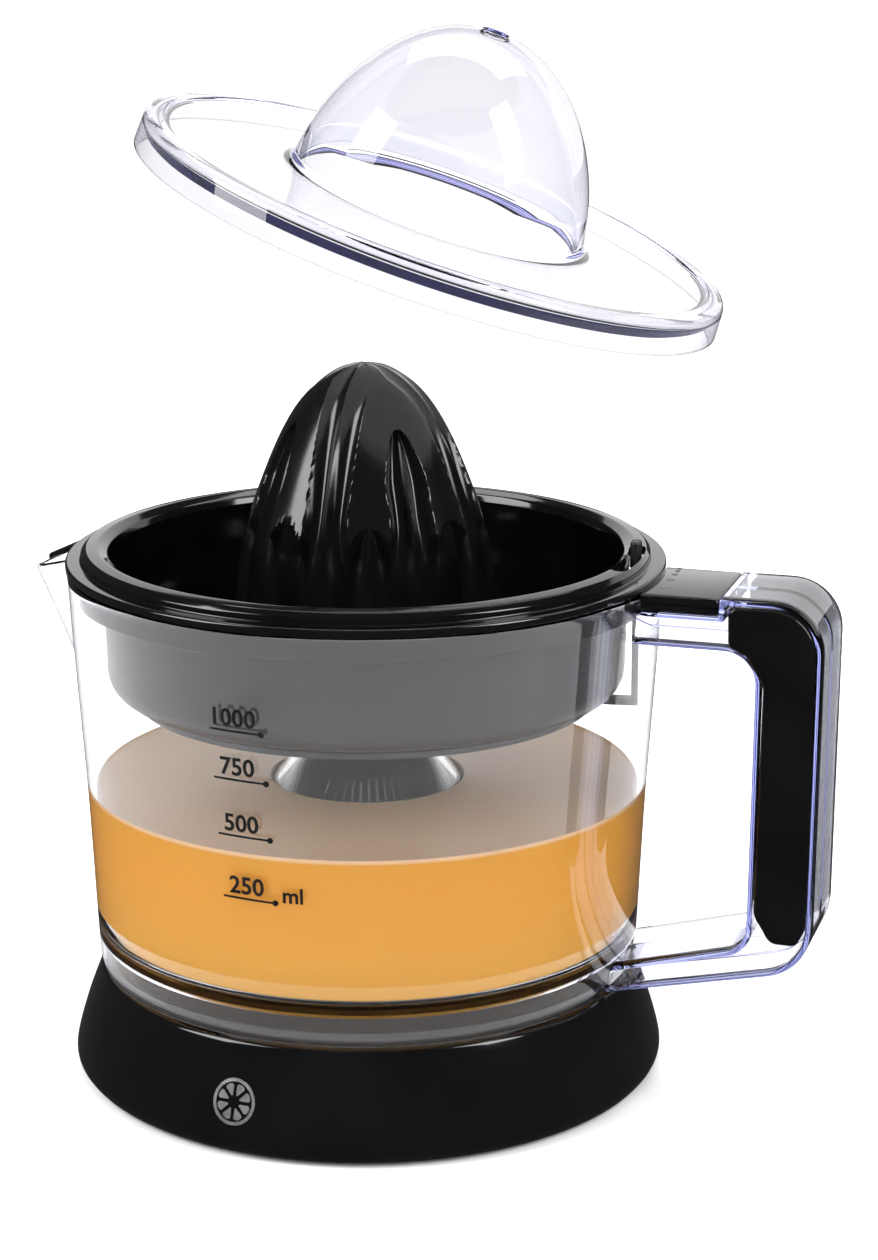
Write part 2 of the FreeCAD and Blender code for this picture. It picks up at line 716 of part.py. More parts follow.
def make_switch_lever():
    slope = math.atan2(lever_tip_z - switch_pivot_z, switch_pivot_x - lever_tip_x)
    length = (switch_pivot_x - lever_tip_x) / math.cos(slope)
    blade = block(-length, 0, -lever_width / 2, lever_width / 2, -lever_t / 2, lever_t / 2)
    eye = Part.makeCylinder(1.2, lever_width, V(0, -lever_width / 2, 0), V(0, 1, 0))
    pin = Part.makeCylinder(0.8 - running_gap, switch_width, V(0, -switch_width / 2, 0), V(0, 1, 0))
    lever = joined([blade, eye, pin])
    lever.rotate(ORIGIN, V(0, 1, 0), math.degrees(slope))
    lever.translate(V(switch_pivot_x, 0, switch_pivot_z))
    return lever


def make_switch_plunger():
    reach = (switch_pivot_x - plunger_x) / (switch_pivot_x - lever_tip_x)
    top = switch_pivot_z + (lever_tip_z - switch_pivot_z) * reach - lever_t / 2 - 0.35
    return cylinder(1.3, switch_top_z - 2.4, top, plunger_x, 0)


def make_terminal_block():
    y = base_mid_r - 32.0
    body = block(-11, 11, y, y + 9, plate_top_z + 0.1, plate_top_z + 9)
    wells = [cylinder(1.8, plate_top_z + 5, plate_top_z + 10, x, y + 4.5) for x in (-7.0, 0.0, 7.0)]
    return body.cut(wells)


def jug_outside():
    outer = curve(jug_r_points)
    return revolved([line((0, jug_r_points[0][1]), jug_r_points[0]), outer,
                     line((jug_r_points[-1][0] - 0.4, jug_rim_z), (0, jug_rim_z)),
                     line((0, jug_rim_z), (0, jug_r_points[0][1]))])


def jug_cavity():
    inner = [(r - jug_wall, z) for r, z in jug_r_points[1:]]
    inner[0] = (inner[0][0] + 0.1, jug_floor_z + 6)
    inner[-1] = (inner[-1][0], jug_rim_z + 1)
    mound = mound_edge(jug_gap + jug_wall, True)
    low = offset_points(mound_points, jug_gap + jug_wall)[0]
    return revolved([
        line((jug_tube_out_r, jug_rim_z + 1), (jug_tube_out_r, offset_points(mound_points, 0)[-1][1])),
        mound,
        line((low[0] + 2, jug_floor_z), (inner[0][0] - 5, jug_floor_z)),
        line((inner[0][0] - 1.4, jug_floor_z + 1.4), inner[0]),
        curve(inner),
        line((inner[-1][0], jug_rim_z + 1), (jug_tube_out_r, jug_rim_z + 1)),
    ])


def jug_underside():
    bottom = jug_r_points[0][1]
    skirt_in = plinth_r + 0.7
    return revolved([
        line((0, bottom - 1), (skirt_in, bottom - 1)),
        line((skirt_in, plinth_z + jug_gap - 1), (skirt_in - 1, plinth_z + jug_gap)),
        mound_edge(jug_gap),
        line((jug_tube_in_r, jug_rim_z + 5), (0, jug_rim_z + 5)),
    ])


def spout_section(height, wall):
    """Horizontal section of the spout at one height, with its point towards -X."""
    share = (height - spout_base_z) / (spout_tip_z - spout_base_z)
    share = min(max(share, 0.0), 1.0)
    wall_r = spout_root_r + (height - spout_root_z) * spout_root_slope
    reach = wall_r + (spout_tip_r - wall_r) * share ** 1.35 - wall
    half = math.radians(spout_low_angle + (spout_half_angle - spout_low_angle) * share)
    side_r = wall_r - wall
    corner = (-side_r * math.cos(half), side_r * math.sin(half))
    round_r = spout_tip_round * min(0.4 + share, 1.0)
    nose = (-(reach - round_r * 0.4), round_r)
    points = [corner, nose, (nose[0], -nose[1]), (corner[0], -corner[1])]
    places = [V(x, y, height) for x, y in points]
    tip = Part.Arc(places[1], V(-reach, 0, height), places[2]).toShape()
    back = V(-side_r + 14, corner[1], height)
    back_low = V(-side_r + 14, -corner[1], height)
    edges = [Part.LineSegment(places[0], places[1]).toShape(), tip,
             Part.LineSegment(places[2], places[3]).toShape(),
             Part.LineSegment(places[3], back_low).toShape(),
             Part.LineSegment(back_low, back).toShape(),
             Part.LineSegment(back, places[0]).toShape()]
    return Part.Wire(edges)


def spout_body(wall):
    low = spout_base_z + wall * 3
    heights = [low + (spout_tip_z - low) * i / 6 for i in range(7)] + [jug_rim_z + 0.5]
    return Part.makeLoft([spout_section(h, wall) for h in heights], True, True)


def spout_trim():
    """Everything above the sloping lip of the spout."""
    slope_start = ledge_r - 1.5
    points = [(-slope_start, jug_rim_z), (-spout_tip_r - 2, spout_tip_z - 0.6), (-spout_tip_r - 2, jug_rim_z + 20),
              (-slope_start, jug_rim_z + 20)]
    outline = [V(x, -60, z) for x, z in points]
    return Part.Face(Part.makePolygon(outline + outline[:1])).extrude(V(0, 120, 0))


def make_jug_vessel():
    wall = jug_outside()
    outer = wall.fuse(spout_body(0).common(cylinder(spout_tip_r + 5, jug_r_points[0][1], jug_rim_z)))
    shell = outer.cut(jug_cavity().fuse(spout_body(jug_wall)))
    shell = shell.cut([jug_underside(), cylinder(jug_tube_out_r + 1, jug_tube_top_z, jug_rim_z + 10), spout_trim()])
    return shell.removeSplitter()


def handle_outline(inset):
    """Side outline of the handle, moved inwards by inset, as (outer corners, inner corners)."""
    slope = (handle_outer_low_z - handle_foot_bottom_z) / (handle_outer_x - 1 - handle_foot_x)
    inner_slope = (handle_inner_low_z - handle_foot_top_z) / (handle_inner_x - handle_foot_x - foot_shift)
    start = jug_skirt_r - 7.3
    outer = [(start, handle_top_z - inset), (handle_outer_x - inset, handle_top_z - inset),
             (handle_outer_x - 1.0 - inset, handle_outer_low_z + inset),
             (start, handle_foot_bottom_z + inset - slope * (handle_foot_x - start))]
    inner = [(start, handle_foot_top_z - inset - inner_slope * (handle_foot_x + foot_shift - start)),
             (handle_inner_x - 0.8 + inset, handle_inner_low_z - inset),
             (handle_inner_x + inset, handle_arm_bottom_z + inset), (start, handle_arm_bottom_z + inset)]
    return outer, inner


def side_prism(points, width, rounds):
    """Outline in the XZ plane extruded over the width, with some corners rounded."""
    outline = [V(x, -width / 2, z) for x, z in points]
    solid = Part.Face(Part.makePolygon(outline + outline[:1])).extrude(V(0, width, 0))
    for (x, z), radius in rounds:
        edges = [e for e in solid.Edges if e.BoundBox.YLength > width - 0.01
                 and abs(e.BoundBox.XMin - x) < 0.01 and abs(e.BoundBox.ZMin - z) < 0.01]
        solid = solid.makeFillet(radius, edges)
    return solid


def handle_loop(inset, width):
    outer, inner = handle_outline(inset)
    body = side_prism(outer, width, [(outer[1], handle_outer_round - inset), (outer[2], handle_outer_round - inset)])
    hole = side_prism(inner, width + 2, [(inner[1], handle_inner_round * 0.8 + inset),
                                         (inner[2], handle_inner_round + inset)])
    return body.cut(hole)


def make_handle_frame():
    frame = handle_loop(0, handle_width)
    pocket = handle_loop(handle_rail, handle_width + 2)
    half_web = handle_web / 2
    far, side, sky = handle_outer_x + 20, handle_width, handle_top_z + 50
    slab = block(0, far, -half_web, half_web, 0, sky)
    pocket = pocket.cut(slab).cut(block(0, body_r + 7.4, -side, side, 0, sky))
    frame = frame.cut(pocket)
    cover = block(0, cover_end_x + panel_gap, -side, side, cover_bottom_z - panel_gap, sky)
    inside_jug = cylinder(jug_skirt_r, 0, jug_bottom_z + 1)
    return frame.cut([cover, jug_outside(), inside_jug, ledge_free_zone()]).removeSplitter()


def ledge_free_zone():
    """Ring kept clear for the strainer's ledge."""
    return cylinder(ledge_r + ledge_gap, jug_rim_z - 0.4, handle_top_z + 50)


def grip_panel(side):
    """Grip panel for one side: fills the frame's channel along the grip."""
    inset = handle_rail + panel_gap
    half_web = handle_web / 2 + panel_gap
    filled = handle_loop(inset, handle_width + 2 * panel_proud)
    keep = block(panel_start_x, handle_outer_x + 20, half_web, handle_width, panel_end_z, handle_top_z + 50)
    panel = filled.common(keep)
    top_face = [f for f in panel.Faces if f.BoundBox.YMin > handle_width / 2 + panel_proud - 0.01]
    rim = top_face[0].Edges
    panel = panel.makeFillet(1.6, rim)
    return panel if side > 0 else panel.mirror(ORIGIN, V(0, 1, 0))


def make_handle_top_cover():
    half = handle_width / 2 + panel_gap
    cover = block(jug_skirt_r - 7.3, cover_end_x, -half, half, cover_bottom_z, cover_top_z)
    edges = [e for e in cover.Edges if e.BoundBox.ZMin > cover_top_z - 0.01 and e.BoundBox.XLength > 5]
    cover = cover.makeFillet(1.4, edges)
    return cover.cut(cylinder(ledge_r + ledge_gap, cover_bottom_z - 1, cover_top_z + 1))


def make_strainer_bowl():
    w = bowl_wall
    floor = bowl_floor_z
    c = bowl_corner_r
    crown = flange_z + 0.4
    bowl = turned([
        (boss_r - 3, floor), (bowl_low_r - c, floor), (bowl_low_r - c * 0.3, floor + c * 0.3),
        (bowl_low_r, floor + c), (bowl_mouth_r, flange_z - 3), (bowl_mouth_r + 0.5, flange_z - 1.2),
        (bowl_mouth_r + 2.2, crown - 0.1), (bowl_mouth_r + 4.2, crown), (flange_r - 1.2, flange_z - 0.2),
        (flange_r, flange_z - 1.2), (flange_r, ledge_z), (ledge_r - 0.6, ledge_z), (ledge_r, ledge_z - 0.6),
        (ledge_r, ledge_z - ledge_t + 0.3), (ledge_r - 0.3, ledge_z - ledge_t), (collar_r, ledge_z - ledge_t),
        (collar_r, collar_bottom_z), (collar_r - 2.0, collar_bottom_z), (collar_r - 2.0, flange_z - flange_t - 0.4),
        (bowl_mouth_r + w, flange_z - flange_t - 0.4), (bowl_low_r + w, floor + c),
        (bowl_low_r + w * 0.5 - c * 0.25, floor + c * 0.1), (bowl_low_r - c, floor - bowl_floor_t),
        (boss_r - 3, floor - bowl_floor_t)])
    bore = jug_tube_out_r + boss_gap
    boss = turned([(bore, bowl_under_z), (boss_r + 4, bowl_under_z), (boss_r + 4, floor), (boss_r + 0.5, floor + 2),
                   (boss_r - 1.5, boss_top_z), (coupling_r + running_gap, boss_top_z),
                   (coupling_r + running_gap, boss_top_z - 3.5), (bore, boss_top_z - 3.5)])
    bowl = joined([bowl, boss])
    slot = rounded_bar(strain_slot_in_r, strain_slot_out_r, strain_slot_width, bowl_under_z - 1, floor + 1)
    cuts = around(slot, strain_slot_count)
    cuts.append(arc_band(pulp_arm_r, slot_width, slot_low_angle, slot_high_angle, flange_z - 6, flange_z + 2))
    bowl = bowl.cut(cuts)
    return bowl.fuse(spout_tongue()).removeSplitter()


def spout_tongue():
    """Flat tongue on the ledge that covers the spout."""
    start = collar_r + 0.5
    end = spout_tip_r - 6.5
    half = tongue_width / 2
    drop = (jug_rim_z - spout_tip_z) * (end - ledge_r) / (spout_tip_r - ledge_r)
    top = ledge_z - ledge_t + 1.0
    side = [(-start, top), (-ledge_r, top), (-end, top - drop), (-end, top - drop - tongue_t * 0.5),
            (-ledge_r, top - tongue_t), (-start, top - tongue_t * 0.6)]
    outline = [V(x, -half, z) for x, z in side]
    tongue = Part.Face(Part.makePolygon(outline + outline[:1])).extrude(V(0, tongue_width, 0))
    plan = prism([(-start + 1, half), (-ledge_r, half), (-end, 1.6), (-end, -1.6), (-ledge_r, -half), (-start + 1, -half)],
                 top - 30, top + 10)
    return tongue.common(plan)


def make_pulp_ring():
    top = bowl_under_z - pulp_gap
    bottom = top - pulp_ring_t
    ring = tube(pulp_ring_out_r, pulp_ring_in_r, bottom, top)
    slot = rounded_bar(strain_slot_in_r, strain_slot_out_r, strain_slot_width, bottom - 1, top + 1)
    ring = ring.cut(around(slot, strain_slot_count))
    arm = block(pulp_ring_out_r - 2, pulp_arm_r, -pulp_arm_width / 2, pulp_arm_width / 2, bottom, top)
    post = block(pulp_arm_r - pulp_arm_t, pulp_arm_r + pulp_arm_t, -pulp_arm_width / 2, pulp_arm_width / 2, bottom,
                 flange_z - flange_t - 0.9)
    shell = tube(pulp_arm_r + pulp_arm_t / 2, pulp_arm_r - pulp_arm_t / 2, bottom - 1, flange_z)
    peg = cylinder(peg_r, flange_z - flange_t - 1.5, peg_top_z, pulp_arm_r, 0)
    post = post.common(shell)
    arm = joined([arm, post, peg])
    return joined([ring, turned_about_axis(arm, peg_angle)])


def make_drive_coupling():
    low = cylinder(coupling_r, coupling_bottom_z + 4.6, boss_top_z + 0.3)
    flange = cylinder(coupling_flange_r, boss_top_z + 0.2, boss_top_z + 0.2 + coupling_flange_t)
    drive = hexagon(coupling_hex_r, boss_top_z + coupling_flange_t, coupling_top_z)
    bore = hexagon(shaft_r + hexagon_gap, coupling_bottom_z, coupling_top_z + 1)
    clip = cylinder(coupling_r + 0.7, coupling_bottom_z + 4.6, boss_top_z - 3.8)
    return joined([low, flange, drive, clip]).cut(bore)


def make_cone():
    outline = cone_outline
    core_points = [(r - cone_rib_depth, z) for r, z in outline[1:-1]] + [(3.5, cone_tip_z - 3.4)]
    core = revolved([line((0, cone_base_z), (outline[0][0] - 1.2, cone_base_z)),
                     line((outline[0][0] - 1.2, cone_base_z + 3), core_points[0]),
                     curve(core_points), line((0, cone_tip_z - 3.0), (0, cone_base_z))])
    full = revolved([line((0, cone_base_z), (outline[0][0], cone_base_z)), curve(outline + [(0.5, cone_tip_z)]),
                     line((0, cone_tip_z), (0, cone_base_z))])
    starts = [long_rib_start_z, short_rib_start_z, medium_rib_start_z, short_rib_start_z]
    ribs = []
    for i in range(rib_count):
        top = starts[i % 4]
        bar = block(0, outline[0][0] + 2, -rib_width / 2, rib_width / 2, cone_base_z, top + 2)
        ribs.append(turned_about_axis(bar, -90 + rib_phase + 360.0 * i / rib_count))
    ribs = joined(ribs).common(full)
    cone = joined([core, ribs])
    cavity_points = [(r - cone_rib_depth - cone_wall, z) for r, z in outline[1:-2]]
    cavity = revolved([line((0, cone_base_z - 1), (outline[0][0] - cone_wall - 1.2, cone_base_z - 1)),
                       curve([(outline[0][0] - cone_wall - 1.2, cone_base_z)] + cavity_points),
                       line((2, cavity_points[-1][1] + 2), (0, cavity_points[-1][1] + 2))])
    hub = cylinder(cone_hub_r, cone_base_z + press_travel + 0.6, cavity_points[-1][1] + 4)
    socket = hexagon(coupling_hex_r + hexagon_gap, cone_base_z - 1, coupling_top_z + press_travel + 0.4)
    notch = block(outline[0][0] - 8, outline[0][0] + 2, -notch_width / 2, notch_width / 2, cone_base_z - 1,
                  cone_base_z + notch_height)
    notches = around(notch, rib_count, -90 + rib_phase + 180.0 / rib_count)
    cone = cone.cut([cavity] + notches)
    cone = cone.fuse(hub.common(core)).cut(socket)
    return cone.removeSplitter()


def make_lid():
    """Lid in its seated place, before it is lifted to its rest pose."""
    t = lid_wall
    top = lid_top_z
    outer_a, outer_b = dome_r, dome_height + dome_sink
    low = top - lid_skirt
    out_start = outer_a * math.sqrt(1 - (dome_sink / outer_b) ** 2)
    angles = [math.asin(dome_sink / outer_b) + (math.pi / 2 - math.asin(dome_sink / outer_b)) * i / 8 for i in range(9)]
    dome = [(outer_a * math.cos(a), top - dome_sink + outer_b * math.sin(a)) for a in angles]
    dome[0] = (out_start, top)
    dome[-1] = (0.0, top + dome_height)
    under_a, under_b = outer_a - t, outer_b - t * 0.85
    under = [(under_a * math.cos(a), top - dome_sink + under_b * math.sin(a)) for a in angles]
    under[-1] = (0.0, top - dome_sink + under_b)
    under[0] = (out_start - t, top - t)
    shell = revolved([
        line((lid_r, low), (lid_r - 0.5, top - lid_round)),
        line((lid_r - 0.5 - lid_round * 0.3, top - lid_round * 0.3), (lid_r - 0.5 - lid_round, top)),
        line((lid_r - 0.5 - lid_round, top), (out_start + 2.0, top)),
        curve(dome, (-0.3, 1), (-1, 0)),
        line((0, top + dome_height), (0, under[-1][1])),
        curve(under[::-1], (1, 0), (0.3, -1)),
        line((out_start - t, top - t), (lid_r - t - 2.0, top - t)),
        line((lid_r - t - 0.5, top - t - 1.5), (lid_r - t, low)),
        line((lid_r - t, low), (lid_r, low)),
    ])
    dimple = cylinder(dimple_r, top + dome_height - dimple_depth, top + dome_height + 1)
    return shell.cut(dimple)


def lid_pivot():
    """Point in the lifting plane about which the seated lid turns into its rest pose."""
    t = math.radians(lid_tilt)
    half_rise, half_shift = lid_rise / 2, lid_shift / 2
    factor = 1 / math.tan(t / 2)
    x = half_shift + half_rise * factor
    z = lid_top_z + half_rise - half_shift * factor
    return x, z


def make_dust_lid():
    x, z = lid_pivot()
    a = math.radians(lid_tilt_azimuth)
    lid = make_lid()
    lid.rotate(V(x * math.cos(a), x * math.sin(a), z), V(-math.sin(a), math.cos(a), 0), lid_tilt)
    return lid


NODES = {
    "base_housing": make_base_housing,
    "base_plate": make_base_plate,
    "foot_pads": make_foot_pads,
    "base_screws": make_base_screws,
    "cord_inlet_bush": make_cord_inlet_bush,
    "terminal_block": make_terminal_block,
    "gearbox_plate": make_gear_plate,
    "gearbox_plate_screws": make_plate_screws,
    "gearbox_cover": make_gear_cover,
    "gearbox_cover_screws": make_cover_screws,
    "gear_axle": make_gear_axle,
    "output_bush_lower": lambda: make_bush(gear_plate_z, gear_plate_top_z),
    "output_bush_upper": lambda: make_bush(gear_cover_z, gear_cover_top_z),
    "shaft_bush": make_upper_bush,
    "shaft_seal": make_shaft_seal,
    "motor_can": make_motor_can,
    "motor_end_plate": make_motor_end_plate,
    "motor_stator": make_motor_stator,
    "motor_windings": make_motor_windings,
    "motor_screws": make_motor_screws,
    "rotor": make_rotor,
    "motor_pinion": make_pinion,
    "compound_gear": make_compound_gear,
    "output_gear": make_output_gear,
    "drive_shaft": make_drive_shaft,
    "thrust_cup": make_thrust_cup,
    "return_spring": make_return_spring,
    "switch_body": make_switch_body,
    "switch_lever": make_switch_lever,
    "switch_plunger": make_switch_plunger,
    "jug_vessel": make_jug_vessel,
    "handle_frame": make_handle_frame,
    "grip_panel_near": lambda: grip_panel(-1),
    "grip_panel_far": lambda: grip_panel(1),
    "handle_top_cover": make_handle_top_cover,
    "strainer_bowl": make_strainer_bowl,
    "pulp_ring": make_pulp_ring,
    "drive_coupling": make_drive_coupling,
    "juicing_cone": make_cone,
    "dust_lid": make_dust_lid,
}

os.makedirs("parts", exist_ok=True)
for name, make in NODES.items():
    shape = make()
    solids = shape.Solids
    shape = solids[0] if len(solids) == 1 else Part.makeCompound(solids)
    shape.exportStep("parts/" + name + ".step")
    print(name, len(solids), "valid" if shape.isValid() else "INVALID", round(shape.Volume, 1))
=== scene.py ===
import bpy
import bmesh
import json
import math
from mathutils import Matrix, Vector


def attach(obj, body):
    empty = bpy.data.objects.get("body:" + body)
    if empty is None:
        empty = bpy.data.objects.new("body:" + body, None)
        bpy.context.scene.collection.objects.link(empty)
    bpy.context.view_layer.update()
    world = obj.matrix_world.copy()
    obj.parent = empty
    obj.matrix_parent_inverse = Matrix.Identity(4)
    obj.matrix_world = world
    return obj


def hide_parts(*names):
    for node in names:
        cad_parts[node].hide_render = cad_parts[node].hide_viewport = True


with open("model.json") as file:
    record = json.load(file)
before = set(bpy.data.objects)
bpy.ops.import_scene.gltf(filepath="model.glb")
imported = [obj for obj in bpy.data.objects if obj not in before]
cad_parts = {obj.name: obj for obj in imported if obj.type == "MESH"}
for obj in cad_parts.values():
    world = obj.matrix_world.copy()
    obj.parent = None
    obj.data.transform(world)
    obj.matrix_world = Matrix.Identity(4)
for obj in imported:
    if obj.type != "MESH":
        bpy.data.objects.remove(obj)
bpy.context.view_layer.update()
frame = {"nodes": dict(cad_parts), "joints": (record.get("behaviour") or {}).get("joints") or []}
nodes = frame["nodes"]
mm = 0.001
print("frame loaded")


# finishes
def newFinish(name, settings):
    finish = bpy.data.materials.new(name)
    finish.use_nodes = True
    shader = finish.node_tree.nodes["Principled BSDF"]
    for socket, value in settings.items():
        shader.inputs[socket].default_value = value
    return finish, finish.node_tree, shader


def objectNoise(tree, scale, detail=3.0, stretch=(1, 1, 1)):
    place = tree.nodes.new("ShaderNodeTexCoord")
    mapping = tree.nodes.new("ShaderNodeMapping")
    mapping.inputs["Scale"].default_value = stretch
    noise = tree.nodes.new("ShaderNodeTexNoise")
    noise.inputs["Scale"].default_value = scale
    noise.inputs["Detail"].default_value = detail
    tree.links.new(place.outputs["Object"], mapping.inputs["Vector"])
    tree.links.new(mapping.outputs["Vector"], noise.inputs["Vector"])
    return noise.outputs["Fac"]


def varyRoughness(tree, shader, low, high, scale, stretch=(1, 1, 1)):
    spread = tree.nodes.new("ShaderNodeMapRange")
    spread.inputs["From Min"].default_value = 0.3
    spread.inputs["From Max"].default_value = 0.7
    spread.inputs["To Min"].default_value = low
    spread.inputs["To Max"].default_value = high
    tree.links.new(objectNoise(tree, scale, 4.0, stretch), spread.inputs["Value"])
    tree.links.new(spread.outputs["Result"], shader.inputs["Roughness"])


def varyColour(tree, shader, dark, light, scale, stretch=(1, 1, 1)):
    ramp = tree.nodes.new("ShaderNodeValToRGB")
    ramp.color_ramp.elements[0].position = 0.35
    ramp.color_ramp.elements[0].color = (*dark, 1)
    ramp.color_ramp.elements[1].position = 0.65
    ramp.color_ramp.elements[1].color = (*light, 1)
    tree.links.new(objectNoise(tree, scale, 5.0, stretch), ramp.inputs["Fac"])
    tree.links.new(ramp.outputs["Color"], shader.inputs["Base Color"])


def addRelief(tree, shader, scale, strength, depth, stretch=(1, 1, 1)):
    bump = tree.nodes.new("ShaderNodeBump")
    bump.inputs["Strength"].default_value = strength
    bump.inputs["Distance"].default_value = depth
    tree.links.new(objectNoise(tree, scale, 2.0, stretch), bump.inputs["Height"])
    tree.links.new(bump.outputs["Normal"], shader.inputs["Normal"])


def solidFinish(name, dark, light, roughLow, roughHigh, grain, relief, extra=None, stretch=(1, 1, 1)):
    finish, tree, shader = newFinish(name, extra or {})
    varyColour(tree, shader, dark, light, grain * 0.4, stretch)
    varyRoughness(tree, shader, roughLow, roughHigh, grain, stretch)
    addRelief(tree, shader, grain * 2.0, relief, 0.0002, stretch)
    return finish


def clearFinish(name, tint, thickness, roughLow, roughHigh):
    finish, tree, shader = newFinish(name, {
        "Base Color": (1, 1, 1, 1), "Transmission Weight": 1.0, "IOR": 1.49})
    varyRoughness(tree, shader, roughLow, roughHigh, 60)
    addRelief(tree, shader, 24, 0.05, 0.0004)          # faint waves left by moulding
    body = tree.nodes.new("ShaderNodeVolumeAbsorption")
    body.inputs["Color"].default_value = (*tint, 1)
    body.inputs["Density"].default_value = thickness
    tree.links.new(body.outputs["Volume"], tree.nodes["Material Output"].inputs["Volume"])
    return finish


glossBlack = solidFinish("glossBlackPlastic", (0.002, 0.002, 0.0022), (0.0035, 0.0035, 0.004), 0.06, 0.11,
                         90, 0.03)
coneBlack = solidFinish("coneBlackPlastic", (0.0025, 0.0025, 0.003), (0.0045, 0.0045, 0.005), 0.14, 0.2, 120,
                        0.03)
satinBlack = solidFinish("satinBlackPlastic", (0.008, 0.008, 0.008), (0.014, 0.014, 0.015), 0.3, 0.42, 160,
                         0.1)
# matt black for the bowl's outside, lighter grey than glossBlack: the lighter grey is a painted sheen
bowlOutsideSheen = solidFinish("bowlOutsideSheenPlastic", (0.026, 0.026, 0.027), (0.032, 0.032, 0.034), 0.32, 0.36, 6,
                          0.0, {"Specular IOR Level": 0.3})
whitePlastic = solidFinish("whitePlastic", (0.7, 0.69, 0.66), (0.8, 0.79, 0.76), 0.35, 0.5, 120, 0.08)
greyPlastic = solidFinish("greyPlastic", (0.2, 0.2, 0.21), (0.28, 0.28, 0.29), 0.35, 0.5, 120, 0.08)
rubber = solidFinish("softRubber", (0.02, 0.02, 0.02), (0.04, 0.04, 0.04), 0.6, 0.85, 220, 0.25)
steel = solidFinish("turnedSteel", (0.42, 0.42, 0.43), (0.58, 0.58, 0.59), 0.2, 0.38, 260, 0.1,
                    {"Metallic": 1.0}, (1, 1, 6))
zinc = solidFinish("zincScrew", (0.5, 0.5, 0.48), (0.68, 0.67, 0.62), 0.25, 0.42, 300, 0.12,
                   {"Metallic": 1.0})
brass = solidFinish("sinteredBrass", (0.5, 0.33, 0.11), (0.66, 0.46, 0.18), 0.3, 0.45, 300, 0.15,
                    {"Metallic": 1.0})
copper = solidFinish("copperWinding", (0.45, 0.14, 0.06), (0.68, 0.25, 0.11), 0.25, 0.4, 500, 0.4,
                     {"Metallic": 1.0}, (1, 1, 9))
printInk = solidFinish("markingInk", (0.006, 0.006, 0.006), (0.012, 0.011, 0.012), 0.5, 0.6, 400, 0.02,
                       {"Specular IOR Level": 0.15})
dotGrey = solidFinish("dotMark", (0.11, 0.11, 0.12), (0.15, 0.15, 0.16), 0.5, 0.6, 300, 0.02)
silverInk = solidFinish("silverMark", (0.55, 0.55, 0.56), (0.72, 0.72, 0.74), 0.22, 0.35, 300, 0.05,
                        {"Metallic": 0.9})
jugClear = clearFinish("jugClearPlastic", (0.74, 0.76, 0.9), 26, 0.0, 0.003)
handleClear = clearFinish("handleClearPlastic", (0.5, 0.53, 0.8), 85, 0.01, 0.03)
lidClear = clearFinish("lidClearPlastic", (0.46, 0.46, 0.82), 40, 0.0, 0.015)
# dark blue for the crown's gate mark and for the painted shade band along the lid's brim
markAndEdgeShadeBlue = solidFinish("lidMarkAndEdgeShadeBlue", (0.006, 0.006, 0.05), (0.009, 0.009, 0.075), 0.5, 0.6, 200, 0.02,
                       {"Specular IOR Level": 0.02})

finishOfSlot = {"black_gloss": glossBlack, "black_satin": satinBlack, "white_plastic": whitePlastic,
                "grey_plastic": greyPlastic, "rubber": rubber, "steel": steel, "zinc": zinc, "brass": brass,
                "copper": copper, "clear_plastic": jugClear}
for node in nodes.values():
    for place in node.material_slots:
        stem = place.material.name.split(".")[0] if place.material else "black_satin"
        place.material = finishOfSlot.get(stem, satinBlack)
print("finishes made")


# shared making
def makePiece(name, points, faces, finish, sharpAngle=32):
    mesh = bpy.data.meshes.new(name)
    mesh.from_pydata([(x * mm, y * mm, z * mm) for x, y, z in points], [], faces)
    work = bmesh.new()
    work.from_mesh(mesh)
    bmesh.ops.remove_doubles(work, verts=work.verts, dist=1e-7)
    bmesh.ops.recalc_face_normals(work, faces=work.faces)
    work.to_mesh(mesh)
    work.free()
    mesh.polygons.foreach_set("use_smooth", [True] * len(mesh.polygons))
    mesh.set_sharp_from_angle(angle=math.radians(sharpAngle))
    piece = bpy.data.objects.new(name, mesh)
    bpy.context.scene.collection.objects.link(piece)
    piece.data.materials.append(finish)
    return piece


def plainMesh(piece):                    # modifiers become part of the mesh
    graph = bpy.context.evaluated_depsgraph_get()
    made = bpy.data.meshes.new_from_object(piece.evaluated_get(graph), preserve_all_data_layers=True,
                                           depsgraph=graph)
    piece.modifiers.clear()
    old = piece.data
    piece.data = made
    bpy.data.meshes.remove(old)
    return piece


def cutWith(piece, cutter, operation="DIFFERENCE", sharpAngle=32):
    knife = piece.modifiers.new("cut", "BOOLEAN")
    knife.operation = operation
    knife.solver = "EXACT"
    knife.object = cutter
    plainMesh(piece)
    bpy.data.objects.remove(cutter)
    piece.data.polygons.foreach_set("use_smooth", [True] * len(piece.data.polygons))
    piece.data.set_sharp_from_angle(angle=math.radians(sharpAngle))
    return piece


def joinPieces(first, others):
    for other in others:
        work = bmesh.new()
        work.from_mesh(first.data)
        work.from_mesh(other.data)
        work.to_mesh(first.data)
        work.free()
        bpy.data.objects.remove(other)
    return first


def turnedPiece(name, outline, finish, turns=192, place=None, sharpAngle=32):
    # outline: closed list of (radius, height); place moves a point at an angle
    points, rings = [], []
    for spot in outline:
        if place is None and abs(spot[0]) < 1e-6:
            rings.append([len(points)] * turns)
            points.append((0, 0, spot[1]))
            continue
        rings.append(list(range(len(points), len(points) + turns)))
        for k in range(turns):
            angle = 2 * math.pi * k / turns
            points.append(place(spot, angle) if place else
                          (spot[0] * math.cos(angle), spot[0] * math.sin(angle), spot[1]))
    faces = []
    for i, ring in enumerate(rings):
        after = rings[(i + 1) % len(rings)]
        for k in range(turns):
            n = (k + 1) % turns
            corners = list(dict.fromkeys([ring[k], ring[n], after[n], after[k]]))
            if len(corners) > 2:
                faces.append(corners)
    return makePiece(name, points, faces, finish, sharpAngle)


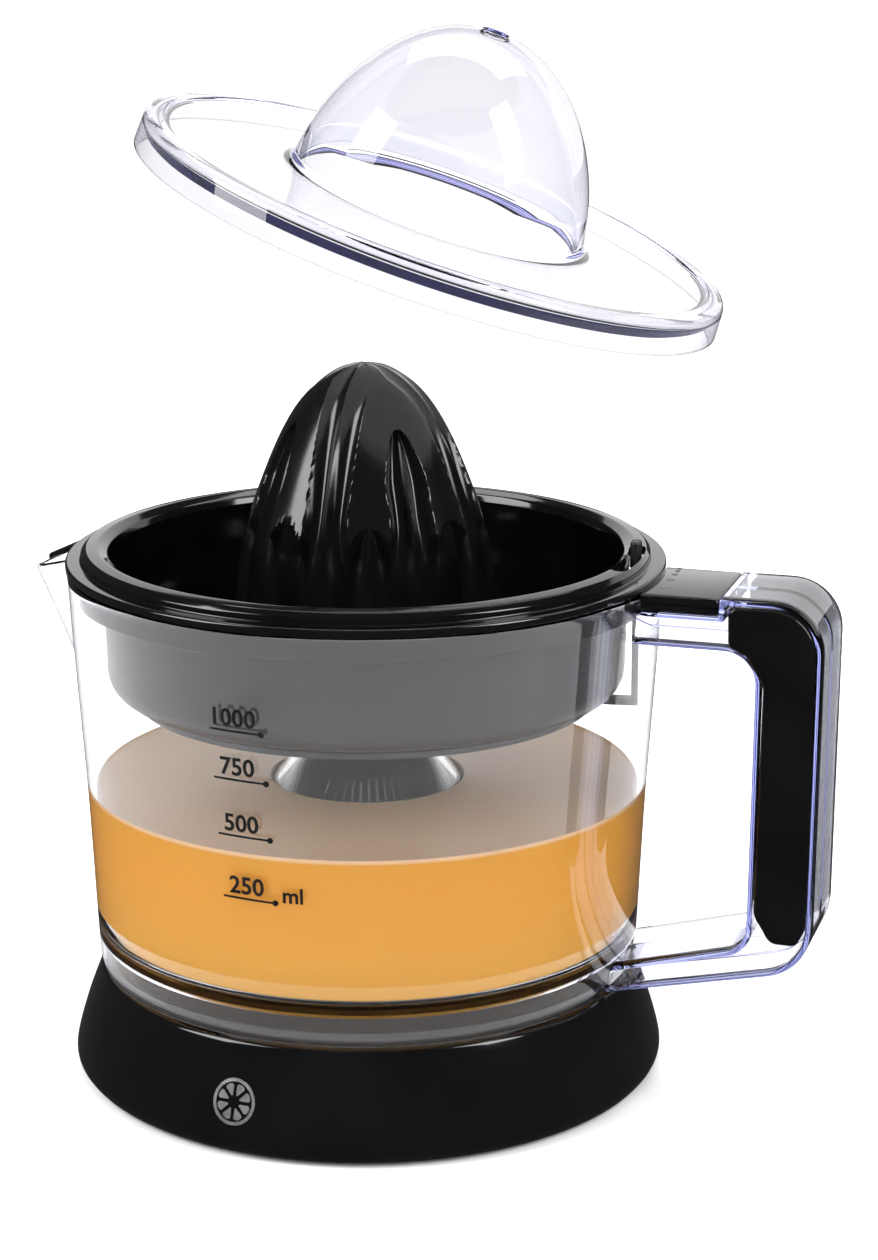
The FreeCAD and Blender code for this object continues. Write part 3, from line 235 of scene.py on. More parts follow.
def softCorners(corners, steps=5):
    # corners: closed list of (x, z, rounding)
    outline = []
    for i, (x, z, rounding) in enumerate(corners):
        here = Vector((x, z))
        if rounding <= 0:
            outline.append((x, z))
            continue
        back = Vector(corners[i - 1][:2]) - here
        ahead = Vector(corners[(i + 1) % len(corners)][:2]) - here
        opening = back.angle(ahead)
        reach = min(rounding / math.tan(opening / 2), back.length * 0.49, ahead.length * 0.49)
        radius = reach * math.tan(opening / 2)
        centre = here + (back.normalized() + ahead.normalized()).normalized() * (radius / math.sin(opening / 2))
        start = here + back.normalized() * reach - centre
        end = here + ahead.normalized() * reach - centre
        first = math.atan2(start.y, start.x)
        sweep = (math.atan2(end.y, end.x) - first + math.pi) % (2 * math.pi) - math.pi
        for k in range(steps + 1):
            a = first + sweep * k / steps
            outline.append((centre.x + radius * math.cos(a), centre.y + radius * math.sin(a)))
    return outline


def smoothCurve(stops, steps=8):
    curve = []
    for i in range(len(stops) - 1):
        a = Vector(stops[max(i - 1, 0)])
        b, c = Vector(stops[i]), Vector(stops[i + 1])
        d = Vector(stops[min(i + 2, len(stops) - 1)])
        for k in range(steps):
            t = k / steps
            p = 0.5 * (2 * b + (c - a) * t + (2 * a - 5 * b + 4 * c - d) * t * t + (3 * b - a - 3 * c + d) * t ** 3)
            curve.append(tuple(p))
    curve.append(tuple(stops[-1]))
    return curve


def radiusAt(stops, z):
    for (r0, z0), (r1, z1) in zip(stops, stops[1:]):
        if z <= z1:
            break
    return r0 + (r1 - r0) * (z - z0) / (z1 - z0)


def extrudedPiece(name, outline, finish, y0, y1, edge=0.0, sharpAngle=32):
    # outline in the XZ plane, closed; both end faces get a rounded edge
    layers = [(y0, 0.0), (y1, 0.0)]
    if edge:
        steps = 4
        low = [(y0 + edge * (1 - math.cos(math.pi / 2 * k / steps)),
                edge * (1 - math.sin(math.pi / 2 * k / steps)))
               for k in range(steps + 1)]
        layers = low + [(y0 + y1 - y, inset) for y, inset in reversed(low)]
    points, rows = [], []
    for y, inset in layers:
        moved = insetOutline(outline, inset)
        rows.append(list(range(len(points), len(points) + len(moved))))
        points += [(x, y, z) for x, z in moved]
    faces = [rows[0], rows[-1][::-1]]
    for a, b in zip(rows, rows[1:]):
        for k in range(len(a)):
            n = (k + 1) % len(a)
            faces.append([a[k], b[k], b[n], a[n]])
    piece = makePiece(name, points, faces, finish, sharpAngle)
    return piece


def insetOutline(outline, distance):
    if not distance:
        return list(outline)
    area = sum(a[0] * b[1] - b[0] * a[1] for a, b in zip(outline, outline[1:] + outline[:1]))
    side = 1 if area > 0 else -1
    moved = []
    for i, here in enumerate(outline):
        before, after = Vector(outline[i - 1]), Vector(outline[(i + 1) % len(outline)])
        a = (Vector(here) - before).normalized()
        b = (after - Vector(here)).normalized()
        normal = Vector((-(a.y + b.y), a.x + b.x)) * side
        length = normal.length
        if length < 1e-6:
            moved.append(tuple(here))
            continue
        normal /= length
        grow = distance / max(0.35, abs(normal.dot(Vector((-a.y, a.x)))))
        moved.append((here[0] + normal.x * grow, here[1] + normal.y * grow))
    return moved


def boxPiece(name, corner, far, finish):
    (x0, y0, z0), (x1, y1, z1) = corner, far
    points = [(x, y, z) for x in (x0, x1) for y in (y0, y1) for z in (z0, z1)]
    faces = [[0, 1, 3, 2], [4, 6, 7, 5], [0, 4, 5, 1], [2, 3, 7, 6], [0, 2, 6, 4], [1, 5, 7, 3]]
    return makePiece(name, points, faces, finish)


# what repeats about the upright axis
def ringTree():
    tree = bpy.data.node_groups.new("repeatAroundAxis", "GeometryNodeTree")
    sockets = tree.interface
    sockets.new_socket("Geometry", in_out="INPUT", socket_type="NodeSocketGeometry")
    sockets.new_socket("Count", in_out="INPUT", socket_type="NodeSocketInt")
    sockets.new_socket("First Angle", in_out="INPUT", socket_type="NodeSocketFloat")
    sockets.new_socket("Step Angle", in_out="INPUT", socket_type="NodeSocketFloat")
    sockets.new_socket("Step Along", in_out="INPUT", socket_type="NodeSocketVector")
    sockets.new_socket("Weld", in_out="INPUT", socket_type="NodeSocketFloat")
    sockets.new_socket("Finish", in_out="INPUT", socket_type="NodeSocketMaterial")
    sockets.new_socket("Geometry", in_out="OUTPUT", socket_type="NodeSocketGeometry")
    make, link = tree.nodes.new, tree.links.new
    given, result = make("NodeGroupInput"), make("NodeGroupOutput")
    row = make("GeometryNodeMeshLine")
    copies = make("GeometryNodeInstanceOnPoints")
    index = make("GeometryNodeInputIndex")
    turn, start = make("ShaderNodeMath"), make("ShaderNodeMath")
    turn.operation, start.operation = "MULTIPLY", "ADD"
    spin, rotation = make("ShaderNodeCombineXYZ"), make("FunctionNodeEulerToRotation")
    real, weld = make("GeometryNodeRealizeInstances"), make("GeometryNodeMergeByDistance")
    finish = make("GeometryNodeSetMaterial")
    link(given.outputs["Count"], row.inputs["Count"])
    link(given.outputs["Step Along"], row.inputs["Offset"])
    link(row.outputs["Mesh"], copies.inputs["Points"])
    link(given.outputs["Geometry"], copies.inputs["Instance"])
    link(index.outputs["Index"], turn.inputs[0])
    link(given.outputs["Step Angle"], turn.inputs[1])
    link(turn.outputs["Value"], start.inputs[0])
    link(given.outputs["First Angle"], start.inputs[1])
    link(start.outputs["Value"], spin.inputs["Z"])
    link(spin.outputs["Vector"], rotation.inputs["Euler"])
    link(rotation.outputs["Rotation"], copies.inputs["Rotation"])
    link(copies.outputs["Instances"], real.inputs["Geometry"])
    link(real.outputs["Geometry"], weld.inputs["Geometry"])
    link(given.outputs["Weld"], weld.inputs["Distance"])
    link(weld.outputs["Geometry"], finish.inputs["Geometry"])
    link(given.outputs["Finish"], finish.inputs["Material"])
    link(finish.outputs["Geometry"], result.inputs["Geometry"])
    return tree


repeatTree = ringTree()


def repeatPiece(piece, count, first=0.0, step=None, along=(0, 0, 0), weld=0.0):
    values = {"Count": count, "First Angle": math.radians(first),
              "Step Angle": math.radians(360 / count if step is None else step),
              "Step Along": [a * mm for a in along], "Weld": weld, "Finish": piece.data.materials[0]}
    copies = piece.modifiers.new("repeat", "NODES")
    copies.node_group = repeatTree
    for socket in repeatTree.interface.items_tree:
        if socket.in_out == "INPUT" and socket.name in values:
            copies[socket.identifier] = values[socket.name]
    return plainMesh(piece)


# motor base
base = {
    "skirt": [(83.7, 1.2), (85.7, 5.5), (82.6, 17.5), (78.9, 27.5)],
    "seamRadius": 77.4, "seamHeight": 31.3,
    "plinthRadius": 73.4, "plinthHeight": 39.6,
    "mound": [(65.0, 39.6), (50.2, 55.3), (36.2, 70.3), (25.2, 82.4), (19.2, 89.2), (14.6, 92.6),
              (11.6, 96.8)],
    "towerRadius": 11.6, "towerTop": 118.0, "boreRadius": 7.0,
    "wall": 2.6, "inletHeight": 12.0, "inletRadius": 5.65,
}
skirtCurve = smoothCurve(base["skirt"], 10)


def baseOutline():
    b = base
    outside = softCorners([(b["skirt"][0][0] - 2, 1.2, 0), (b["skirt"][0][0], 1.2, 0.5)]
                          + [(r, z, 0) for r, z in skirtCurve[3:]]
                          + [(b["seamRadius"] + 0.2, b["seamHeight"] - 0.2, 1.6),
                             (b["plinthRadius"], b["seamHeight"], 0.4),
                             (b["plinthRadius"], b["plinthHeight"], 0.9)], 6)
    mound = smoothCurve(b["mound"], 5)
    tower = softCorners([mound[-1] + (0,), (b["towerRadius"], b["towerTop"], 1.0),
                         (b["boreRadius"], b["towerTop"], 0.3),
                         (b["boreRadius"], b["towerTop"] - 15, 0), (9.0, b["towerTop"] - 15, 0)], 4)
    under = [(9.0, 94.0), (16.0, 88.5), (22.6, 81.0), (33.8, 68.8), (47.8, 53.6), (63.4, 37.0), (70.8, 37.0),
             (70.8, 28.7), (72.4, 28.7), (74.8, 26.7), (80.0, 17.5), (83.0, 5.5), (81.1, 1.2)]
    return outside + mound[:-1] + tower + under


baseShell = turnedPiece("baseShell", baseOutline(), glossBlack, 256)
inletCutter = turnedPiece("inletCutter", [(0, -10), (base["inletRadius"], -10), (base["inletRadius"], 10),
                                          (0, 10)], glossBlack, 48)
inletCutter.data.transform(Matrix.Translation((0, 82 * mm, base["inletHeight"] * mm))
                           @ Matrix.Rotation(math.radians(90), 4, "X"))
cutWith(baseShell, inletCutter)
emblem = {"angle": -98.0, "height": 15.6, "radius": 6.4, "ring": 0.9, "segments": 8, "gap": 0.55,
          "thickness": 0.12}


def wrapOnBase(piece, angle, height):
    # flat drawing (x across, y up, z thickness, in mm) laid on the skirt
    for v in piece.data.vertices:
        z = height + v.co.y / mm * 0.96
        skirt = radiusAt(skirtCurve, z) + 0.06 + v.co.z / mm
        a = math.radians(angle) + v.co.x / mm / 84.0
        v.co = Vector((skirt * math.cos(a), skirt * math.sin(a), z)) * mm
    return piece


def slicePlate(outline, depth):
    count = len(outline)
    points = [(x, y, z) for z in (0, depth) for x, y in outline]
    faces = [list(range(count))[::-1], list(range(count, 2 * count))]
    faces += [[k, (k + 1) % count, count + (k + 1) % count, count + k] for k in range(count)]
    return makePiece("fruitMark", points, faces, silverInk)


def makeEmblem():
    e = emblem
    rim, flesh = e["radius"], e["radius"] - e["ring"] - 0.55
    half = math.pi / e["segments"]
    acrossX, acrossY = flesh * math.cos(half - 0.09), flesh * math.sin(half - 0.09)
    wedge = softCorners([(e["gap"] / math.sin(half), 0, 0.25), (acrossX, -acrossY, 0.7),
                         (flesh * 1.03, 0, 1.5), (acrossX, acrossY, 0.7)], 4)
    mark = repeatPiece(slicePlate(wedge, e["thickness"]), e["segments"], 22.5)
    steps = 12
    turns = [half * 2 * k / steps for k in range(steps + 1)]
    arc = [(rim * math.cos(a), rim * math.sin(a)) for a in turns]
    arc += [((rim - e["ring"]) * x / rim, (rim - e["ring"]) * y / rim) for x, y in reversed(arc)]
    rind = repeatPiece(slicePlate(arc, e["thickness"]), e["segments"], 0.0, weld=1e-6)
    return wrapOnBase(joinPieces(mark, [rind]), e["angle"], e["height"])


fruitMark = makeEmblem()
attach(fruitMark, "base")
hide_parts("base_housing")
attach(baseShell, "base")
print("base made")


# clear jug
jug = {
    "outside": [(77.3, 31.65), (78.3, 39.5), (80.3, 81.0), (82.2, 110.0), (84.6, 147.6)],
    "wall": 2.3, "rim": 148.0, "floor": 43.1,
    "gapOverBase": 0.9, "tubeTop": 125.0,
    "spoutTip": 103.8, "spoutTipHeight": 139.0, "spoutStart": 86.0,
    "spoutNarrow": 4.0, "spoutWide": 18.0, "lipFall": 0.42,
}
jugCurve = smoothCurve(jug["outside"], 8)


def offsetCurve(stops, distance):
    moved = []
    for i, (r, z) in enumerate(stops):
        (r0, z0), (r1, z1) = stops[max(i - 1, 0)], stops[min(i + 1, len(stops) - 1)]
        dr, dz = r1 - r0, z1 - z0
        if i == len(stops) - 1:
            dr, dz = 0.0, 1.0
        length = math.hypot(dr, dz)
        moved.append((r + distance * dz / length, z - distance * dr / length))
    return moved


def spoutRadius(angle, z, wallRadius, inset):
    # how far the wall stands out at one angle: round, or drawn out to the spout towards -X
    j = jug
    share = min(max((z - j["spoutStart"]) / (j["spoutTipHeight"] - j["spoutStart"]), 0.0), 1.0)
    side = abs((angle - math.pi + math.pi) % (2 * math.pi) - math.pi)
    half = math.radians(j["spoutNarrow"] + (j["spoutWide"] - j["spoutNarrow"]) * share)
    tip = wallRadius + (j["spoutTip"] - inset - wallRadius) * share ** 1.35
    softSide = math.sqrt(side ** 2 + (math.radians(1.6)) ** 2)
    cornerX, cornerY = wallRadius * math.cos(half), wallRadius * math.sin(half)
    dx, dy = cornerX - tip, cornerY
    straight = (tip * dy) / (dy * math.cos(softSide) - dx * math.sin(softSide)) if share > 0 else wallRadius
    if side > 2.2 * half or straight < 0 or straight > tip + 1:
        straight = wallRadius - 20
    blendWidth = 2.0
    low, high = wallRadius, straight
    spread = max(blendWidth - abs(low - high), 0.0) / blendWidth
    return max(low, high) + spread * spread * blendWidth * 0.25 * min(1.0, share * 6)


def placeJug(spot, angle):
    kind, inset, z = spot
    if kind == "turned":
        return inset * math.cos(angle), inset * math.sin(angle), z
    start = jug["spoutStart"]
    rimZ = jug["rim"]
    for _ in range(3):
        out = spoutRadius(angle, min(rimZ, 147.6), radiusAt(jugCurve, min(rimZ, 147.6)), 0.0)
        fall = max(0.0, -out * math.cos(angle) - 83.5)
        rimZ = jug["rim"] - jug["lipFall"] * fall
    height = z if z < start else start + (z - start) * (rimZ - start) / (jug["rim"] - start)
    wallRadius = radiusAt(jugCurve, min(max(height, 31.65), 147.6)) - inset
    radius = spoutRadius(angle, height, wallRadius, inset)
    return radius * math.cos(angle), radius * math.sin(angle), height


def jugSpots():
    j = jug
    mound = smoothCurve(offsetCurve(base["mound"], j["gapOverBase"] + j["wall"]), 5)
    mound = [(r, z) for r, z in mound if z > j["floor"] + 0.5]
    under = smoothCurve(offsetCurve(base["mound"], j["gapOverBase"]), 5)
    tubeOut = base["towerRadius"] + j["gapOverBase"] + j["wall"]
    tubeIn = tubeOut - j["wall"]
    heights = [33.0 + (147.4 - 33.0) * k / 70 for k in range(71)]
    spots = [("wall", 0.9, 31.75), ("wall", 0.35, 31.9), ("wall", 0.05, 32.3)]
    spots += [("wall", 0.0, z) for z in heights]
    spots += [("wall", 0.12, 147.75), ("wall", 0.45, 147.95), ("wall", 0.9, 148.0), ("wall", 1.5, 148.0),
              ("wall", 1.95, 147.9), ("wall", 2.25, 147.6)]
    spots += [("wall", j["wall"], z) for z in reversed([50.0 + (147.2 - 50.0) * k / 60 for k in range(61)])]
    inner = radiusAt(jugCurve, 50.0) - j["wall"]
    corner = softCorners([(inner, 50.0, 0), (inner - 0.5, j["floor"], 5.0),
                          (mound[0][0] + 3.0, j["floor"], 0)], 8)
    spots += [("turned", r, z) for r, z in corner[1:-1]]
    spots += [("turned", r, z) for r, z in [(mound[0][0] + 2.4, j["floor"])] + mound]
    spots += [("turned", r, z) for r, z in [(tubeOut, 104.0), (tubeOut, 114.0), (tubeOut, j["tubeTop"] - 0.7),
                                            (tubeOut - 0.7, j["tubeTop"]), (tubeIn + 0.5, j["tubeTop"]),
                                            (tubeIn, j["tubeTop"] - 0.5), (tubeIn, 110.0)]]
    spots += [("turned", r, z) for r, z in reversed(under)]
    spots += [("turned", r, z) for r, z in [(73.3, 40.5), (74.1, 39.8), (74.2, 38.5), (74.2, 32.2),
                                            (74.7, 31.7)]]
    return spots


jugBody = turnedPiece("jugBody", jugSpots(), jugClear, 320, placeJug, 40)
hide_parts("jug_vessel")
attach(jugBody, "jug")
print("jug made")


# graduations
marks = {
    "angle": -96.6, "thickness": 0.12, "textHeight": 4.9, "boldness": 0.13, "lineWidth": 0.55, "dotRadius": 0.85,
    "rows": [("1000", 122.3, -0.6), ("750", 108.6, 0.2), ("500", 92.6, 0.6), ("250", 74.8, 1.4)],
}


def wrapOnJug(piece, angle, height):
    # flat drawing (x across, y up, z thickness, in mm) laid on the jug's wall
    for v in piece.data.vertices:
        z = height + v.co.y
        wall = radiusAt(jugCurve, z)
        a = math.radians(angle) + v.co.x / wall
        r = wall + 0.1 + v.co.z
        v.co = Vector((r * math.cos(a), r * math.sin(a), z)) * mm
    return piece


def textPiece(words, size, depth, finish):
    drawn = bpy.data.curves.new("markText", "FONT")
    drawn.body = words
    drawn.size = size
    drawn.extrude = depth / 2
    drawn.offset = marks["boldness"]
    drawn.resolution_u = 3
    drawn.align_x = "CENTER"
    holder = bpy.data.objects.new("markText", drawn)
    bpy.context.scene.collection.objects.link(holder)
    graph = bpy.context.evaluated_depsgraph_get()
    mesh = bpy.data.meshes.new_from_object(holder.evaluated_get(graph), depsgraph=graph)
    bpy.data.objects.remove(holder)
    piece = bpy.data.objects.new("markText", mesh)
    bpy.context.scene.collection.objects.link(piece)
    mesh.materials.clear()
    mesh.materials.append(finish)
    work = bmesh.new()
    work.from_mesh(mesh)
    bmesh.ops.remove_doubles(work, verts=work.verts, dist=1e-5)
    bmesh.ops.triangulate(work, faces=work.faces)
    work.to_mesh(mesh)
    work.free()
    return piece


def flatPiece(outline, depth, finish):
    count = len(outline)
    points = [(x / mm, y / mm, side * depth / mm / 2) for side in (-1, 1) for x, y in outline]
    faces = [list(range(count))[::-1], list(range(count, 2 * count))]
    faces += [[k, (k + 1) % count, count + (k + 1) % count, count + k] for k in range(count)]
    return makePiece("flat", points, faces, finish)


def circleOutline(cx, cy, radius, count=20):
    return [(cx + radius * math.cos(2 * math.pi * k / count), cy + radius * math.sin(2 * math.pi * k / count))
            for k in range(count)]


def makeMarks():
    parts = []
    for words, height, shift in marks["rows"]:
        text = textPiece(words, marks["textHeight"] * 1.4, marks["thickness"], printInk)
        angle = marks["angle"] + math.degrees(shift / 82.0)
        parts.append(wrapOnJug(text, angle, height))
        w = marks["lineWidth"] / 2
        steps = 12
        top = [(-7 + 15 * k / steps, -1.3 + w - 0.3 * k / steps) for k in range(steps + 1)]
        low = [(x, y - 2 * w) for x, y in reversed(top)]
        parts.append(wrapOnJug(flatPiece(low + top, marks["thickness"], printInk), angle, height))
        parts.append(wrapOnJug(flatPiece(circleOutline(8.2, -1.6, marks["dotRadius"]), marks["thickness"],
                                         printInk),
                               angle, height))
    unit = textPiece("ml", marks["textHeight"] * 1.25, marks["thickness"], printInk)
    parts.append(wrapOnJug(unit, marks["angle"] + 10.4, marks["rows"][-1][1] - 1.2))
    return joinPieces(parts[0], parts[1:])


fillMarks = makeMarks()
fillMarks.name = "fillMarks"
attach(fillMarks, "jug")
print("graduations made")


# handle
handle = {
    "halfWidth": 16.3, "outerX": 134.2, "innerX": 116.0, "top": 149.0, "armUnder": 134.5,
    "outerLow": 44.6, "innerLow": 50.2, "footTop": 42.4, "footUnder": 32.6,
    "rail": 1.6, "web": 1.6, "coverStep": 105.4, "coverFloor": 144.2,
    "panelProud": 0.9, "panelBack": 13.0,
}


def jugSide(z, y, clear=0.04):
    r = radiusAt(jugCurve, min(max(z, 31.65), 147.6)) + clear
    if z > 147.0:
        r = 85.4
    return math.sqrt(r * r - y * y)


def handleOutline(inset, y):
    # side view of the frame: the two arms end on the jug's wall
    h = handle
    slope = (h["outerLow"] - h["footUnder"]) / (h["outerX"] - 1 - 77.3)
    innerSlope = (h["innerLow"] - h["footTop"]) / (h["innerX"] - 77.3 - 8)
    footZ = h["footUnder"] + inset
    footX = jugSide(footZ, y)
    topFootZ = h["footTop"] - inset
    corners = [
        (jugSide(h["coverFloor"] - inset, y), h["coverFloor"] - inset, 0),
        (h["coverStep"] + inset, h["coverFloor"] - inset, 0.6),
        (h["coverStep"] + inset, h["top"] - inset, 0.8),
        (h["outerX"] - inset, h["top"] - inset, 15.0 - inset),
        (h["outerX"] - 1 - inset, h["outerLow"] + inset, 15.0 - inset),
        (footX, footZ + slope * (footX - 77.3), 0),
        (jugSide(topFootZ, y), topFootZ + innerSlope * (jugSide(topFootZ, y) - 85.3), 0),
        (h["innerX"] - 0.8 + inset, h["innerLow"] - inset, 7.2 + inset),
        (h["innerX"] + inset, h["armUnder"] + inset, 9.0 + inset),
        (jugSide(h["armUnder"] + inset, y), h["armUnder"] + inset, 0),
    ]
    return softCorners(corners, 10)


def makeHandleFrame():
    h = handle
    half, web, rail = h["halfWidth"], h["web"], h["rail"]
    points, rows = [], []

    def addRow(y, inset, shrink=0.0):
        row = handleOutline(inset + shrink, y)
        rows.append(list(range(len(points), len(points) + len(row))))
        points.extend((x, y, z) for x, z in row)

    layers = [(-web, rail), (-half + 0.4, rail), (-half, rail - 0.35), (-half, 0.5), (-half + 0.2, 0.15),
              (-half + 0.55, 0.0)]
    layers += [(y, 0.0) for y in (-12, -8, -4, 0, 4, 8, 12)]
    layers += [(-y, inset) for y, inset in reversed(layers[:6])]
    for y, inset in layers:
        addRow(y, inset)
    faces = [rows[0], rows[-1][::-1]]
    for a, b in zip(rows, rows[1:]):
        for k in range(len(a)):
            n = (k + 1) % len(a)
            faces.append([a[k], b[k], b[n], a[n]])
    return makePiece("handleFrame", points, faces, handleClear, 40)


handleFrame = makeHandleFrame()
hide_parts("handle_frame")
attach(handleFrame, "jug")

panelCorners = [(108.0, 146.9, 2.5), (108.3, 135.9, 2.5), (113.5, 133.6, 3.0), (118.2, 125.5, 5.0),
                (117.6, 90.5, 0), (117.2, 60.0, 6.0), (122.0, 52.0, 3.5), (129.4, 51.9, 2.5),
                (131.9, 57.4, 3.5), (132.2, 83.3, 0), (132.3, 147.1, 13.6)]
for side, name, node in ((-1, "gripPanelNear", "grip_panel_near"), (1, "gripPanelFar", "grip_panel_far")):
    low, high = side * handle["panelBack"], side * (handle["halfWidth"] + handle["panelProud"])
    panel = extrudedPiece(name, softCorners(panelCorners, 8), glossBlack, min(low, high), max(low, high), 0.9)
    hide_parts(node)
    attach(panel, "jug")

cover = {"end": 105.2, "under": 144.4, "top": 148.9, "round": 85.35, "halfWidth": 16.5,
         "grooveDepth": 0.5}


def makeHandleCover():
    c = cover
    side = c["halfWidth"]
    profile = softCorners([(side, c["under"], 0.3), (side, 146.0, 0.15),
                           (side - c["grooveDepth"], 146.15, 0.1),
                           (side - c["grooveDepth"], 146.5, 0.1), (side, 146.65, 0.15), (side, c["top"], 1.2),
                           (-side, c["top"], 1.2), (-side, 146.65, 0.15),
                           (-side + c["grooveDepth"], 146.5, 0.1),
                           (-side + c["grooveDepth"], 146.15, 0.1), (-side, 146.0, 0.15),
                           (-side, c["under"], 0.3)], 4)
    points, rows = [], []
    for along, shrink in ((0.0, 0.0), (0.3, 0.0), (0.7, 0.0), (0.96, 0.0), (0.985, 0.12), (1.0, 0.4)):
        rows.append(list(range(len(points), len(points) + len(profile))))
        for y, z in profile:
            y *= 1 - shrink / side
            z = 146.65 + (z - 146.65) * (1 - shrink / 2.3)
            start = math.sqrt(c["round"] ** 2 - y * y)
            points.append((start + (c["end"] - start) * along, y, z))
    faces = [rows[0], rows[-1][::-1]]
    for a, b in zip(rows, rows[1:]):
        for k in range(len(a)):
            n = (k + 1) % len(a)
            faces.append([a[k], b[k], b[n], a[n]])
    return makePiece("handleTopCover", points, faces, glossBlack, 40)


handleTopCover = makeHandleCover()
pulpDots = {"places": [(87.6, 15.2, 0.5), (87.7, 12.2, 0.65), (87.8, 8.0, 0.9), (88.0, 1.6, 1.2),
                       (88.2, -6.6, 1.6)], "depth": 0.12}


def makePulpDots():
    dots = []
    for x, y, r in pulpDots["places"]:
        disc = flatPiece(circleOutline(x * mm, y * mm, r * mm, 24), pulpDots["depth"] * mm, dotGrey)
        disc.data.transform(Matrix.Translation((0, 0, (cover["top"] + 0.02) * mm)))
        dots.append(disc)
    return joinPieces(dots[0], dots[1:])


pulpScale = makePulpDots()
pulpScale.name = "pulpScale"
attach(pulpScale, "jug")
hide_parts("handle_top_cover")
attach(handleTopCover, "jug")
print("handle made")


# strainer bowl
bowl = {
    "ledgeRadius": 85.0, "ledgeHeight": 150.7, "ledgeThickness": 2.3,
    "flangeRadius": 80.6, "flangeHeight": 154.0, "mouthRadius": 72.4, "lowRadius": 71.4, "wall": 2.3,
    "floor": 115.0, "floorThickness": 2.4, "collarRadius": 81.4, "collarBottom": 140.7,
    "bossRadius": 18.5, "bossTop": 130.0, "boreRadius": 15.7, "couplingBore": 6.66,
    "slotCount": 36, "slotWidth": 2.0, "slotFrom": 30.0, "slotTo": 62.0,
    "adjusterRadius": 76.9, "adjusterWidth": 4.8, "adjusterFrom": -8.5, "adjusterTo": 11.5,
}


def bowlOutline():
    b = bowl
    low = b["floor"] - b["floorThickness"]
    return softCorners([
        (b["couplingBore"], b["bossTop"] - 3.5, 0), (b["couplingBore"], b["bossTop"], 0.4),
        (b["bossRadius"] - 2.0, b["bossTop"], 2.0), (b["bossRadius"] + 0.6, b["floor"], 3.0),
        (b["lowRadius"], b["floor"], 6.0), (b["mouthRadius"], b["flangeHeight"] - 3.0, 1.5),
        (b["mouthRadius"] + 0.6, b["flangeHeight"] - 0.9, 1.2),
        (b["mouthRadius"] + 3.4, b["flangeHeight"] + 0.4, 2.0),
        (b["flangeRadius"] - 1.4, b["flangeHeight"] - 0.1, 1.2),
        (b["flangeRadius"], b["flangeHeight"] - 1.5, 0.8),
        (b["flangeRadius"], b["ledgeHeight"], 0.5), (b["ledgeRadius"], b["ledgeHeight"], 0.8),
        (b["ledgeRadius"], b["ledgeHeight"] - b["ledgeThickness"], 0.6),
        (b["collarRadius"], b["ledgeHeight"] - b["ledgeThickness"], 0.4),
        (b["collarRadius"], b["collarBottom"], 0.6), (b["collarRadius"] - 2.0, b["collarBottom"], 0.4),
        (b["collarRadius"] - 2.0, b["flangeHeight"] - 2.4, 0.5),
        (b["mouthRadius"] + b["wall"], b["flangeHeight"] - 2.4, 0.6),
        (b["lowRadius"] + b["wall"], low, 7.5), (b["bossRadius"] + 4, low, 0), (b["boreRadius"], low, 0.4),
        (b["boreRadius"], b["bossTop"] - 3.5, 0.5),
    ], 6)


def slotCutter(inner, outer, width, low, high):
    half = width / 2
    turns = [math.pi * (k / 8 - 0.5) for k in range(9)]
    ends = [(outer + half * math.cos(a), half * math.sin(a)) for a in turns]
    ends += [(inner - half * math.cos(a), -half * math.sin(a)) for a in turns]
    count = len(ends)
    points = [(x, y, z) for z in (low, high) for x, y in ends]
    faces = [list(range(count))[::-1], list(range(count, 2 * count))]
    faces += [[k, (k + 1) % count, count + (k + 1) % count, count + k] for k in range(count)]
    return makePiece("slotCutter", points, faces, glossBlack)


def arcCutter(radius, width, first, last, low, high):
    half, steps = width / 2, 24
    outline = []
    for k in range(steps + 1):
        a = math.radians(first + (last - first) * k / steps)
        outline.append(((radius + half) * math.cos(a), (radius + half) * math.sin(a)))
    for angle, flip in ((last, 1), (first, -1)):
        a = math.radians(angle)
        for k in range(1, 8):
            t = a + math.pi * k / 8 if flip > 0 else a + math.pi + math.pi * k / 8
            outline.append((radius * math.cos(a) + half * math.cos(t),
                            radius * math.sin(a) + half * math.sin(t)))
        if flip > 0:
            for m in range(steps + 1):
                b = math.radians(last + (first - last) * m / steps)
                outline.append(((radius - half) * math.cos(b), (radius - half) * math.sin(b)))
    count = len(outline)
    points = [(x, y, z) for z in (low, high) for x, y in outline]
    faces = [list(range(count))[::-1], list(range(count, 2 * count))]
    faces += [[k, (k + 1) % count, count + (k + 1) % count, count + k] for k in range(count)]
    return makePiece("arcCutter", points, faces, glossBlack)


def makeBowl():
    b = bowl
    piece = turnedPiece("strainerBowl", bowlOutline(), glossBlack, 256)
    slots = repeatPiece(slotCutter(b["slotFrom"], b["slotTo"], b["slotWidth"], 110, 117), b["slotCount"])
    cutWith(piece, slots)
    cutWith(piece, arcCutter(b["adjusterRadius"], b["adjusterWidth"], b["adjusterFrom"], b["adjusterTo"],
                             149.6, 156))
    # the outside below the ledge gets a matt finish, and its lighter grey colour is a painted sheen for the black
    # plastic as it looks through the clear jug
    piece.data.materials.append(bowlOutsideSheen)
    for face in piece.data.polygons:
        c = face.center / mm
        r = math.hypot(c.x, c.y)
        outward = face.normal.x * c.x + face.normal.y * c.y > 0
        if c.z < 148.2 and r > 70 and (outward or c.z < 114):
            face.material_index = 1
    tongue = makeTongue()
    return joinPieces(piece, [tongue])


